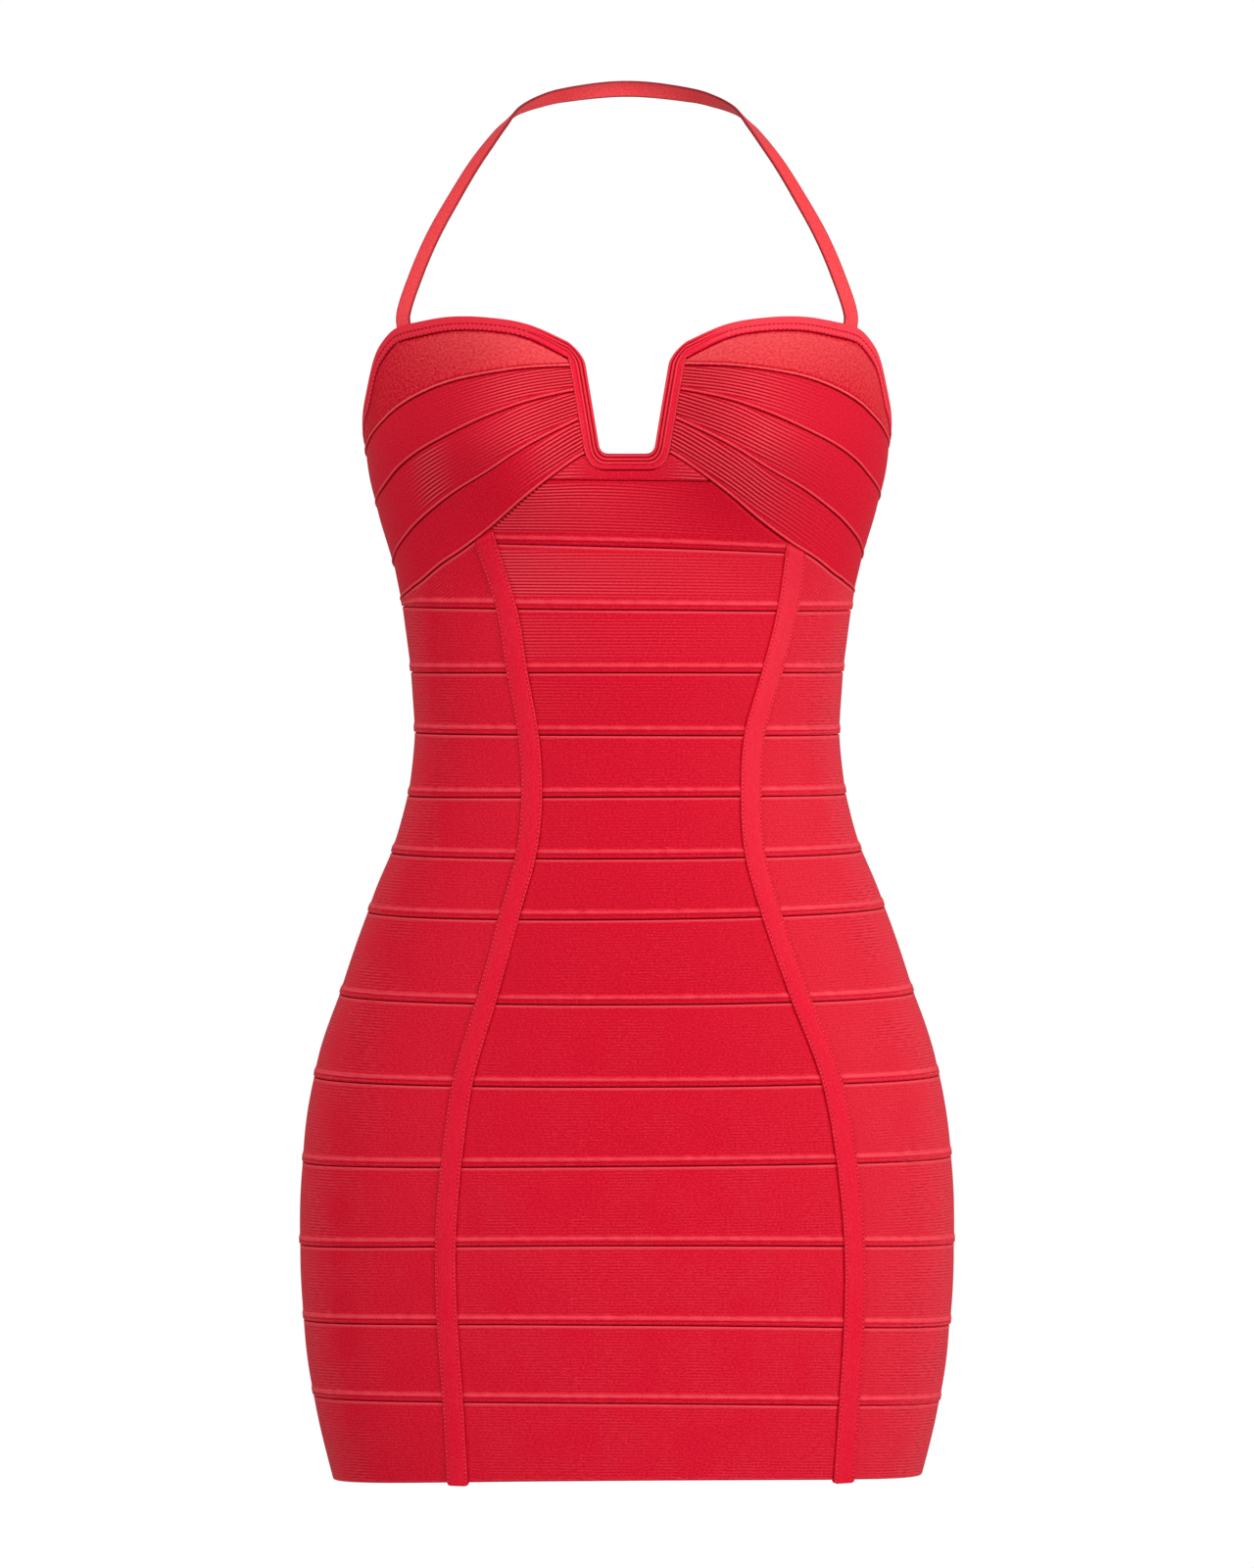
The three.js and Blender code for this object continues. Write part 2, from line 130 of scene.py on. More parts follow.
# Seam lines and edges, each a drop for an angle
lines = {
    "sideSeam": 92,
    "sideTuck": 0.75,  # degrees by which the back's bands run on under the side seam
    "cupLean": 2.2,  # the right cup's seams lie this much higher, the left one's lower
    "edge": 1, "first": 2, "second": 3, "third": 4, "hem": 5,  # columns of the cup lines
    "cupLines": [
        [8, 150.5, 158.4, 171.5, 187, 207],
        [11, 145.5, 158.4, 172.6, 190.8, 212],
        [20, 135.6, 159.3, 177.8, 202.2, 228],
        [30, 131.8, 162.2, 186, 216, 245],
        [40, 131.3, 166.5, 195.2, 227, 257.5],
        [50, 133.8, 173.2, 204.1, 237.8, 266.5],
        [60, 137.4, 181.5, 213.8, 247.5, 275],
        [66, 143.6, 187.5, 220, 252.8, 278.6],
        [72, 153, 193, 225, 257.3, 281.8],
        [80, 174, 200, 230, 263, 284.8],
        [92, 192, 207, 236, 269, 288.5],
    ],
    "backEdge": [
        [92, 192],
        [100, 199],
        [115, 207],
        [140, 216],
        [165, 221],
        [180, 222],
    ],
    "upperBack": 260,
    "seams": {  # drops at the left side, the front centre and the right side
        "breastbone": [222, 221.4, 225],
        "midriff": [256.5, 258, 265],
        "underbust": [292.7, 292.8, 294.9],
        "ribs": [329.5, 327.4, 329.5],
        "aboveWaist": [363.3, 362, 364.2],
        "waist": [398.8, 396, 397.7],
        "belowWaist": [430.8, 430, 429.7],
        "upperHip": [464.1, 463.4, 461.3],
        "hip": [510.7, 510.4, 509.6],
        "seat": [557.4, 555.8, 556.3],
        "lowerSeat": [605.7, 599.7, 602.4],
        "upperThigh": [652.4, 643.7, 651.8],
        "thigh": [695.1, 687.9, 697.8],
        "lowerThigh": [737.7, 731.6, 741],
        "hem": [785.4, 775.2, 782.8],
    },
}


def folded(angle):
    return np.abs((np.asarray(angle, float) + 180) % 360 - 180)


def cupLine(name):
    def line(angle):
        leaning = -lines["cupLean"] * np.sin(np.radians(angle))
        return readTable(lines["cupLines"], lines[name], folded(angle)) + leaning
    return line


def topEdge(angle):
    away = folded(angle)
    front = readTable(lines["cupLines"], lines["edge"], away)
    return np.where(away < lines["sideSeam"], front, readTable(lines["backEdge"], 1, away))


def edgeStretch(line, angle):  # drop taken by one millimetre square to the line
    drop = line(angle)
    arc = np.linalg.norm(formPoint(angle + 1, drop) - formPoint(angle - 1, drop), axis=-1)
    steepness = (line(angle + 1) - line(angle - 1)) / arc
    fall = np.linalg.norm(formPoint(angle, drop + 1) - formPoint(angle, drop), axis=-1)
    return np.sqrt(1 + steepness ** 2) / fall


def bindingLow(angle):
    return topEdge(angle) + trim["width"] * edgeStretch(topEdge, angle)


def seam(name):
    left, front, right = lines["seams"][name]
    sides = (left + right) / 2
    def line(angle):
        turn = np.radians(angle)
        even = (front + 3 * sides) / 4 + (front - sides) / 2 * np.cos(turn)
        return even + (right - left) / 2 * np.sin(turn) + (front - sides) / 4 * np.cos(2 * turn)
    return line


def below(line):
    return lambda angle: line(angle) + knit["seamGap"]


def sampled(limit):  # an upright limit read once for every half millimetre of drop
    drops = np.arange(100, 812, 0.5)
    angles = limit(drops)
    return lambda drop: np.interp(drop, drops, angles)


# Bands of bandage knit. A tuck, a lip and the inside are rows of distance from the band's edge,
# lift off the form and painted tone: 1 a painted highlight on a raised edge, -1 painted shade in a
# hollow.
knit = {
    "wall": 1.4,
    "seamGap": 0.3,
    "under": 1.6,  # how far an end is tucked under the tape or binding that covers it
    "underLift": -1.8,
    "turnIn": [-0.35, -0.1, 0.15, 0.45],  # mesh steps round the bend where an end goes under
    "step": 4.5,  # mesh step along a band
    "rows": {"front": 16, "ribbed": 96, "notch": 40, "wrap": 12, "side": 14},  # mesh rows across
    "tuck": [
        [-2, -1.75, -1], [0, -1.7, -1], [0.12, -1, -0.9], [0.28, -0.5, -0.5], [0.45, -0.05, 0.5],
        [0.7, 0.1, 1.2], [1.1, 0.12, 1], [1.7, 0.05, 0.2], [2.6, 0, 0],
    ],
    "lip": [
        [6.2, 0, 0], [5.5, 0.04, 0.1], [4.9, 0.16, 0.45], [4.2, 0.36, 0.75], [3.5, 0.54, 0.7],
        [2.9, 0.63, 0.2], [2.5, 0.6, -0.3], [2.15, 0.5, -0.5], [1.75, 0.54, -0.1],
        [1.2, 0.6, 0.05], [0.75, 0.57, 0], [0.4, 0.45, -0.1], [0.15, 0.25, -0.3], [0, 0, -0.6],
        [0, -0.8, -1],
    ],
    "cupTuck": [
        [-2, -1.75, -1], [0, -1.7, -1], [0.08, -0.9, -0.7], [0.22, -0.25, -0.35],
        [0.45, 0, 0.1], [0.75, 0.02, 0.1],
    ],
    "cupLip": [
        [2.4, 0.02, 0], [2.05, 0.04, -0.5], [1.7, 0.2, -0.2], [1.4, 0.48, 0.9],
        [1.05, 0.64, 1.5], [0.7, 0.62, 1.2], [0.4, 0.5, 0.2], [0.15, 0.3, -0.3], [0, 0.02, -0.6],
        [0, -0.8, -0.9],
    ],
    "hemLip": [
        [2.2, 0, 0], [1.5, 0.02, 0.1], [1.1, 0, 0.25], [0.7, -0.03, 0], [0.35, -0.12, -0.1],
        [0.1, -0.35, -0.4], [0, -0.8, -0.8],
    ],
    "inside": [[5, -1.4, 0], [2.6, -1.8, 0], [1, -2.7, 0], [-2, -2.8, 0]],
    "belly": 0.35,  # how far a band bows out between its seams
    "slack": 0.22,  # unevenness of the stretched cloth
    "slackSize": 26,
    "pucker": 0.07,  # finer unevenness along a sewn edge
    "puckerSize": 3.1,
    # how far the puckers vary the painted highlight of a lip
    "puckerTone": 0.25,
    # a rib this high or higher gets its full painted tone, from painted shade in the valley to a
    # painted highlight on the top
    "toneHeight": 0.35,
    "valleyTone": -1.6,
    "topTone": 1.2,
}


def unevenness(along, down, size, seed):  # crossed waves, the same each run
    total = 0
    for k in range(1, 5):
        swing = 1.3 * np.sin(down / size * (0.6 + 0.29 * k) + k + seed)
        total = total + np.sin(along / size * (0.8 + 0.37 * k) + 1.7 * seed * k + swing)
    return total / 4


def panelPlace(panel, u, v):
    start, end, top, bottom = (panel[k] for k in ("start", "end", "top", "bottom"))
    angle = start(top(0.0)) * (1 - u) + end(top(0.0)) * u + 0 * v
    drop = 0
    for _ in range(12):
        drop = top(angle) * (1 - v) + bottom(angle) * v
        angle = start(drop) * (1 - u) + end(drop) * u
    return angle, drop


def pathLength(points):  # distance along a row of points
    steps = np.linalg.norm(np.diff(points, axis=0), axis=-1)
    return np.concatenate([[0], np.cumsum(steps)])


def shareSteps(length, step, under):  # shares along a band, close together where an end goes under
    turnIn = knit["under"] + np.array(knit["turnIn"])
    clear = turnIn[-1] + 0.3
    spots = np.linspace(0, length, max(8, round(length / step)) + 1)
    if under[0]:
        spots = np.concatenate([[0], turnIn, spots[spots > clear]])
    if under[1]:
        spots = np.concatenate([spots[spots < length - clear], length - turnIn[::-1], [length]])
    return spots / length


def panelWall(panel, tuck, lip, middleRows, relief=None, step=None, under=(False, False)):
    u = np.linspace(0, 1, 9)
    length = pathLength(formPoint(*panelPlace(panel, u, 0.5 + 0 * u)))[-1]
    u = shareSteps(length, step or knit["step"], under)
    along = pathLength(formPoint(*panelPlace(panel, u, 0.5 + 0 * u)))
    topAngle, topDrop = panelPlace(panel, u, 0 * u)
    lowAngle, lowDrop = panelPlace(panel, u, 0 * u + 1)
    depth = lowDrop - topDrop
    topStretch, lowStretch = edgeStretch(panel["top"], topAngle), edgeStretch(panel["bottom"], lowAngle)
    tuck, lip, inside = np.array(tuck), np.array(lip), np.array(knit["inside"])
    squeeze = np.minimum(1, 0.8 * depth / (tuck[-1, 0] * topStretch + lip[0, 0] * lowStretch))
    tuckShare = tuck[:, :1] * topStretch * squeeze / depth
    lipShare = 1 - lip[:, :1] * lowStretch * squeeze / depth
    insideShare = inside[:, :1] * topStretch * squeeze / depth
    ease = np.linspace(0, 1, middleRows + 2)[1:-1, None]
    middleShare = tuckShare[-1] + (lipShare[0] - tuckShare[-1]) * ease
    share = np.vstack([tuckShare, middleShare, lipShare])
    ones = np.ones_like(depth)
    lipLift = np.where(lip[:, 1:2] > 0, lip[:, 1:2] * (0.5 + 0.5 * squeeze), lip[:, 1:2])
    lift = np.vstack([tuck[:, 1:2] * ones, 0 * middleShare, lipLift])
    tone = np.vstack([tuck[:, 2:] * ones, 0 * middleShare, lip[:, 2:] * ones])
    down = share * depth / ((topStretch + lowStretch) / 2)
    lift += knit["belly"] * squeeze * np.sin(np.pi * np.clip(share, 0, 1)) ** 0.8
    lift += knit["slack"] * unevenness(along + 0 * down, down, knit["slackSize"], panel["seed"])
    onLip = slice(len(tuck) + middleRows, None)
    pucker = unevenness(along + 0 * down[onLip], down[onLip], knit["puckerSize"], panel["seed"])
    lift[onLip] += knit["pucker"] * pucker
    tone[onLip] += knit["puckerTone"] * pucker * (lip[:, 2:] > 0)
    if relief is not None:
        rows = slice(len(tuck), len(tuck) + middleRows)
        height, wave = relief(u, ease, along, down[rows])
        lift[rows] += height * wave
        # painted shade in the rib valleys and a painted highlight on the rib tops
        ribTone = knit["valleyTone"] + (knit["topTone"] - knit["valleyTone"]) * wave
        tone[rows] += np.clip(height / knit["toneHeight"], 0, 1) * ribTone
    back = np.linspace(1, float(np.mean(insideShare[0])), 5)[:-1, None] * ones
    share = np.vstack([share, back, insideShare, share[:1]])
    lift = np.vstack([lift, -knit["wall"] + 0 * back, inside[:, 1:2] * ones, lift[:1]])
    tone = np.vstack([tone, 0 * back, 0 * insideShare, tone[:1]])
    for ending, away in zip(under, (along, along[-1] - along)):
        if ending:
            lift += knit["underLift"] * np.clip((knit["under"] + 0.2 - away) / 0.5, 0, 1)
    angle, drop = panelPlace(panel, u[None, :], share)
    size = (along[-1], float(np.mean(depth / ((topStretch + lowStretch) / 2))))
    return {"points": liftedPoint(angle, drop, lift), "along": along + 0 * share,
            "down": share * depth, "tone": tone, "angle": angle, "size": size}


def wallPiece(name, wall, ribShow=1.0):
    points, shape = wall["points"], wall["points"].shape[:2]
    rows, columns = shape
    bm = bmesh.new()
    bmesh.ops.create_grid(bm, x_segments=columns - 1, y_segments=rows - 1, size=1)
    bm.verts.index_update()
    spots = np.array([vert.co[:] for vert in bm.verts])
    k = np.rint((spots[:, 0] + 1) / 2 * (columns - 1)).astype(int)
    i = np.rint((spots[:, 1] + 1) / 2 * (rows - 1)).astype(int)
    for vert, place in zip(bm.verts, points[i, k] * mm):
        vert.co = place
    knitMap = bm.loops.layers.uv.new("knitMap")
    flat = np.stack([wall["along"][i, k], wall["down"][i, k]], axis=-1) * mm
    for face in bm.faces:
        face.smooth = True
        for loop in face.loops:
            loop[knitMap].uv = flat[loop.vert.index]
    painted = {"ribShow": np.broadcast_to(np.asarray(ribShow, float), shape),
               "tone": wall.get("tone", np.zeros(shape))}
    for layerName, value in painted.items():
        layer = bm.verts.layers.float.new(layerName)
        for vert, level in zip(bm.verts, value[i, k]):
            vert[layer] = level
    bmesh.ops.remove_doubles(bm, verts=bm.verts, dist=1e-7)
    bmesh.ops.holes_fill(bm, edges=[edge for edge in bm.edges if edge.is_boundary], sides=0)
    bmesh.ops.recalc_face_normals(bm, faces=bm.faces)
    return meshPiece(name, bm)


def meshPiece(name, bm):
    mesh = bpy.data.meshes.new(name)
    bm.to_mesh(mesh)
    bm.free()
    piece = bpy.data.objects.new(name, mesh)
    bpy.context.scene.collection.objects.link(piece)
    return piece


def dressPiece(piece, material, slotName, *nodes):
    piece.data.materials.append(material)
    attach(piece, "root")
    if nodes:
        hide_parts(*nodes)
    return piece


def addBand(name, wall, ribShow, node, cloth="bandageKnit"):
    piece = wallPiece(name, wall, ribShow)
    dressPiece(piece, materials[cloth], "knit_band", node)


# Colours and finishes
def linear(hexColour):
    shares = [int(hexColour[i:i + 2], 16) / 255 for i in (1, 3, 5)]
    return [s / 12.92 if s <= 0.04045 else ((s + 0.055) / 1.055) ** 2.4 for s in shares] + [1]


def addNode(tree, kind, settings=None, values=None, links=None):
    node = tree.nodes.new("ShaderNode" + kind)
    for name, value in (settings or {}).items():
        setattr(node, name, value)
    for socket, value in (values or {}).items():
        node.inputs[socket].default_value = value
    for socket, source in (links or {}).items():
        tree.links.new(source, node.inputs[socket])
    return node


# In each finish, 'light' is the colour of painted highlights and 'hollow' that of painted shade; the
# painted tone and the ribs mix them in.
finishes = {
    "bandageKnit": {  # rayon and elastane bandage knit: matt loops with a soft sheen across the courses
        "colour": "#cf0825", "hollow": "#92040f", "light": "#fa525e", "speck": "#f4203e",
        "ribPitch": 1.7, "ribHeight": 0.18, "grain": 0.15, "specks": 0.8,
        "grainSize": (1.4, 0.9), "mottle": 0.3,
        "roughness": 0.5, "specular": 0.06, "sheen": 0.11, "sheenTint": "#ff6a68",
    },
    "mottledPaintedSheenKnit": {  # the same knit, brushed and more mottled, on top of the cups; its paler light colour carries the painted sheen there
        "colour": "#ca0822", "hollow": "#900412", "light": "#ff6c6c", "speck": "#f02038",
        "ribPitch": 2, "ribHeight": 0.1, "grain": 0.26, "specks": 0.8,
        "grainSize": (1.9, 1.3), "mottle": 1.2,
        "roughness": 0.55, "specular": 0.04, "sheen": 0.04, "sheenTint": "#ff8a80",
    },
    "trimKnit": {  # the same yarn in a close rib for tapes and bindings, pressed flat
        "colour": "#dc0a2a", "hollow": "#8c0210", "light": "#fc5460", "speck": "#f61e40",
        "ribPitch": 1.1, "ribHeight": 0.05, "grain": 0.1, "specks": 0.7,
        "grainSize": (1.4, 0.9), "mottle": 0.3,
        "roughness": 0.5, "specular": 0.06, "sheen": 0.08, "sheenTint": "#ff6a68",
    },
    "strapKnit": {  # a narrow tube of the knit, stretched, with a paler, more coral colour that is painted light
        "colour": "#ee363e", "hollow": "#8a141e", "light": "#ff7a78", "speck": "#fa565a",
        "ribPitch": 1.1, "ribHeight": 0.03, "grain": 0.12, "specks": 1,
        "grainSize": (1.4, 0.9), "mottle": 0,
        "roughness": 0.5, "specular": 0.2, "sheen": 0.12, "sheenTint": "#ff9a94",
    },
    "sewingThread": {  # spun polyester thread, a little brighter than the cloth
        "colour": "#f0485a", "hollow": "#c01c30", "light": "#fc6a74", "speck": "#fa5c68",
        "ribPitch": 0.6, "ribHeight": 0.02, "grain": 0.03, "specks": 0.6,
        "grainSize": (1.4, 0.9), "mottle": 0,
        "roughness": 0.55, "specular": 0.35, "sheen": 0.1, "sheenTint": "#ff9a94",
    },
}


def knitMaterial(name, look):
    material = bpy.data.materials.new(name)
    material.use_nodes = True
    tree = material.node_tree
    tree.nodes.clear()
    place = addNode(tree, "UVMap", {"uv_map": "knitMap"}).outputs["UV"]
    spots = addNode(tree, "TexCoord").outputs["Object"]
    show = addNode(tree, "Attribute", {"attribute_name": "ribShow"}).outputs["Fac"]
    tone = addNode(tree, "Attribute", {"attribute_name": "tone"}).outputs["Fac"]
    axes = addNode(tree, "SeparateXYZ", links={"Vector": place})
    wander = addNode(tree, "TexNoise", values={"Scale": 38, "Detail": 2}, links={"Vector": spots})
    patch = addNode(tree, "MapRange", values={"From Min": 0.3, "From Max": 0.62},
                    links={"Value": wander.outputs["Fac"]})
    amount = addNode(tree, "Math", {"operation": "MULTIPLY"}, links={0: patch.outputs[0], 1: show})
    ribTurn = addNode(tree, "Math", {"operation": "MULTIPLY"},
                      {1: 2 * math.pi / (look["ribPitch"] * mm)}, {0: axes.outputs["Y"]})
    rib = addNode(tree, "Math", {"operation": "SINE"}, links={0: ribTurn.outputs[0]})
    # loose yarns lie along a course, 6 mm long and 0.8 mm apart
    yarnPlace = addNode(tree, "Mapping", values={"Scale": (170, 1250, 1)}, links={"Vector": place})
    yarns = addNode(tree, "TexNoise", values={"Scale": 1, "Detail": 2, "Roughness": 0.6},
                    links={"Vector": yarnPlace.outputs[0]})
    yarn = addNode(tree, "MapRange", {"clamp": False}, {"From Min": 0.4, "From Max": 0.75},
                   links={"Value": yarns.outputs["Fac"]})
    course = addNode(tree, "Math", {"operation": "MULTIPLY_ADD"}, {1: 0.55},
                     {0: rib.outputs[0], 2: yarn.outputs[0]})
    shownRib = addNode(tree, "Math", {"operation": "MULTIPLY"},
                       links={0: course.outputs[0], 1: amount.outputs[0]})
    # grain of the loops, drawn two or three loops long so that it shows
    perMetre = [1 / (size * mm) for size in look["grainSize"]]
    grainPlace = addNode(tree, "Mapping", values={"Scale": (*perMetre, 1)}, links={"Vector": place})
    grain = addNode(tree, "TexNoise", values={"Scale": 1, "Detail": 3, "Roughness": 0.7},
                    links={"Vector": grainPlace.outputs[0]})
    ribHeight = addNode(tree, "Math", {"operation": "MULTIPLY"}, {1: look["ribHeight"]},
                        {0: shownRib.outputs[0]})
    height = addNode(tree, "Math", {"operation": "MULTIPLY_ADD"}, {1: look["grain"] * 2},
                     {0: grain.outputs["Fac"], 2: ribHeight.outputs[0]})
    bump = addNode(tree, "Bump", values={"Strength": 1, "Distance": mm},
                   links={"Height": height.outputs[0]})
    # specks where loops catch the light, then painted light and shade on the ribs, then the painted
    # tone of seams and hollows
    specks = addNode(tree, "MapRange", links={"Value": grain.outputs["Fac"]},
                     values={"From Min": 0.4, "From Max": 0.7, "To Max": look["specks"]})
    speckled = addNode(tree, "Mix", {"data_type": "RGBA"},
                       {"A": linear(look["colour"]), "B": linear(look["speck"])},
                       {"Factor": specks.outputs[0]})
    mottle = addNode(tree, "MapRange", {"clamp": False}, links={"Value": grain.outputs["Fac"]},
                     values={"To Min": -look["mottle"] / 2, "To Max": look["mottle"] / 2})
    mottled = addNode(tree, "Math", {"operation": "ADD"}, links={0: mottle.outputs[0], 1: tone})
    ribTone = addNode(tree, "Math", {"operation": "MULTIPLY_ADD"}, {1: 0.4},
                      {0: shownRib.outputs[0], 2: mottled.outputs[0]})
    lighter = addNode(tree, "MapRange", values={"To Max": 0.75}, links={"Value": ribTone.outputs[0]})
    darker = addNode(tree, "MapRange", values={"From Max": -1, "To Max": 0.85},
                     links={"Value": ribTone.outputs[0]})
    lit = addNode(tree, "Mix", {"data_type": "RGBA"}, {"B": linear(look["light"])},
                  {"Factor": lighter.outputs[0], "A": speckled.outputs["Result"]})
    colour = addNode(tree, "Mix", {"data_type": "RGBA"}, {"B": linear(look["hollow"])},
                     {"Factor": darker.outputs[0], "A": lit.outputs["Result"]})
    cloth = addNode(tree, "BsdfPrincipled", values={
        "Roughness": look["roughness"], "Specular IOR Level": look["specular"],
        "Sheen Weight": look["sheen"], "Sheen Roughness": 0.3,
        "Sheen Tint": linear(look["sheenTint"])},
        links={"Base Color": colour.outputs["Result"], "Normal": bump.outputs[0]})
    addNode(tree, "OutputMaterial", links={"Surface": cloth.outputs[0]})
    return material


materials = {name: knitMaterial(name, look) for name, look in finishes.items()}
print("finishes:", ", ".join(materials))

# Trims: the bindings, and the two tapes over the princess seams
trim = {
    "width": 8.8,
    "rise": 0.9,
    "sideSteps": 70,  # mesh steps over each cup
    "sewnFrom": 20,  # the stitches over a cup start this far from the notch's mouth
    "zigzagTo": 6,  # those of the notch end this far outside it,
    "zigzagOut": 12,  # and leave its base free, this far each side of the centre
    "ribPitch": 2,
    "ribs": 3,
    "ribRise": 1.75,
    "ribValley": 0.55,
    "stitchLine": 0.6,  # share across the folded binding where its upper row of stitches runs
    "notchTop": {"out": 23.9, "drop": 152, "round": 7},
    "notchBottom": {"out": 14.7, "drop": 206.8, "round": 5},
}
tape = {
    "width": 11.6,
    "rise": 1.35,
    "tail": 1.6,
    "cornerRound": 1.6,  # at its lower end
    "steps": 240,  # mesh steps along it
    "sunkSteps": 6,  # of these, the first ones are hidden under the cup and aren't sewn
    "grooves": (6, 12),  # rows of the shape where the stitches run
    "glow": {"left": 0, "right": 0.22},  # painted light on the right tape above the waist, on the side of the lamps
    "left": 1, "right": 2,  # columns of the centre lines
    "lines": [
        [250, -80, 94.5],
        [292, -66.5, 89],
        [328, -60.5, 80],
        [362, -54.5, 70.5],
        [395, -52.5, 68.5],
        [427, -55.5, 70.5],
        [462, -65, 80],
        [508, -77.5, 96],
        [553, -90.5, 113],
        [598, -97, 121.5],
        [645, -100.5, 126],
        [688, -99.5, 126],
        [732, -96.5, 123.5],
        [786, -93.5, 120],
    ],
}


def tapeSide(side, offset):
    return lambda drop: angleAt(readTable(tape["lines"], tape[side], drop) + offset, drop)


def cupHemAngle(sign):
    hem = cupLine("hem")

    def limit(drop):
        near = np.full(np.shape(drop), 9.0)
        far = np.full(np.shape(drop), float(lines["sideSeam"]))
        for _ in range(30):
            middle = (near + far) / 2
            above = hem(sign * middle) + knit["seamGap"] < drop
            near, far = np.where(above, middle, near), np.where(above, far, middle)
        return sign * near
    return limit


def frontLimit(side):
    sign = -1 if side == "left" else 1
    beside = tapeSide(side, -sign * (tape["width"] / 2 - knit["under"]))
    hem = cupHemAngle(sign)
    return sampled(lambda drop: sign * np.minimum(np.abs(beside(drop)), np.abs(hem(drop))))


def notchOut(drop, offset):
    top, bottom = trim["notchTop"], trim["notchBottom"]
    slope = (top["out"] - bottom["out"]) / (bottom["drop"] - top["drop"])
    level = offset * math.sqrt(1 + slope ** 2)
    return bottom["out"] + slope * (bottom["drop"] - drop) + level


def notchLimit(sign):
    def limit(drop):
        return angleAt(sign * notchOut(drop, trim["width"] - knit["under"]), drop)
    return limit


def rounded(phase):  # round ribs with sharp hollows between them
    return np.abs(np.sin(np.pi * phase))


def ribRelief(pitch, height):  # ribs of even pitch, with a height for a share along the band
    def relief(u, ease, along, down):
        fade = np.clip(np.minimum(ease, 1 - ease) * 12, 0, 1)
        return height(u, along) * fade, rounded((down - down[-1:]) / pitch)
    return relief


def fannedRibs(pitch, spread, height):  # ribs that leave the notch side by side and spread a little
    def relief(u, ease, along, down):
        fade = np.clip(np.minimum(ease, 1 - ease) * 14, 0, 1)
        offset = down - down.mean(axis=0)
        return height(u, along) * fade, rounded(offset / (pitch + spread * along)) ** 1.3
    return relief


frontBands = {
    "ribPitch": 1.8,
    # rib height at the left and right ends of the upper bands, which are stretched least
    "ribHeights": [[0.62, 0.02], [0.54, 0.03], [0.24, 0.03], [0.14, 0.02]],
    "ribFade": 0.42,
    "ribShow": 0.12,  # how far the drawn ribs show on the bands with and without modelled ribs
    "plainShow": 0.6,
    # painted shade on most bands, band by band, deepest on the top band and over the waist, and a
    # little painted light on the second band
    "tones": [-0.16, 0.04, -0.08, -0.17, -0.14, -0.14, -0.14, -0.14, -0.1, -0.08, -0.04, 0, 0, 0],
}


def addFrontBands():
    start, end = frontLimit("left"), frontLimit("right")
    names = list(lines["seams"])
    for i in range(1, len(names)):
        panel = {"top": below(seam(names[i - 1])), "bottom": seam(names[i]),
                 "start": start, "end": end, "seed": i}
        ribs, rows, show = None, knit["rows"]["front"], frontBands["plainShow"]
        if i <= len(frontBands["ribHeights"]):
            first, last = frontBands["ribHeights"][i - 1]

            def height(u, along, first=first, last=last):
                return first + (last - first) * u ** frontBands["ribFade"]
            ribs, rows = ribRelief(frontBands["ribPitch"], height), knit["rows"]["ribbed"]
            show = frontBands["ribShow"]
        tuck = knit["cupTuck" if i == 1 else "tuck"]
        lip = knit["hemLip" if names[i] == "hem" else "lip"]
        wall = panelWall(panel, tuck, lip, rows, ribs, under=(True, True))
        wall["tone"] += frontBands["tones"][i - 1]
        addBand(f"frontBand{i:02}", wall, show, f"front_band_{i:02}")


def addNotchBand():
    base = trim["notchBottom"]["drop"] + trim["width"]
    corner = notchOut(base, trim["width"])
    outerRound = trim["notchBottom"]["round"] + trim["width"] / 2
    heel = corner - outerRound
    hem = cupLine("hem")

    def top(angle):
        out = np.abs(formPoint(angle, base)[..., 0])
        past = np.maximum(out - heel, 0) / (corner - heel)
        bend = outerRound * (1 - np.sqrt(np.maximum(1 - past ** 2, 0)))
        return np.maximum(base - bend - 1.2 * np.minimum(past, 1), hem(angle)) + 0.4
    bottom = seam("breastbone")
    reach = 0.965 * abs(float(cupHemAngle(1)(bottom(0.0))))
    panel = {"top": top, "bottom": bottom, "seed": 3,
             "start": lambda drop: -reach + 0 * drop, "end": lambda drop: reach + 0 * drop}
    ribs = ribRelief(frontBands["ribPitch"],
                     lambda u, along: 0.4 * np.clip(np.abs(2 * u - 1) * 2.4 - 0.9, 0, 1))
    # rows of distance, lift and tone, with painted shade along the lower edge
    lip = [[0.7, 0, 0], [0.4, -0.02, 0], [0.15, -0.12, -0.3], [0, -0.4, -0.6], [0, -0.9, -0.9]]
    wall = panelWall(panel, knit["cupTuck"], lip, knit["rows"]["notch"], ribs, step=1.5)
    addBand("notchBand", wall, 0.3, "notch_band")


def sideStretch(wall):  # the ribs open most where the cloth turns round the hips
    return 0.3 + 1.1 * np.clip((np.abs(np.sin(np.radians(wall["angle"]))) - 0.68) / 0.24, 0, 1)


# Painted light on the right side, where the lamps on the right fall, and along both outlines; on the
# right the painted shade of the seams is softened too
glow = {"right": 0.18, "outline": 0.17, "soften": 0.5}


def addGlow(wall):
    turn = np.sin(np.radians(wall["angle"]))
    right = np.clip(1.6 * turn - 0.4, 0, 1)
    outline = np.clip((np.abs(turn) - 0.86) / 0.1, 0, 1)
    wall["tone"] *= np.where(wall["tone"] < 0, 1 - glow["soften"] * right, 1)
    wall["tone"] += glow["right"] * right + glow["outline"] * outline


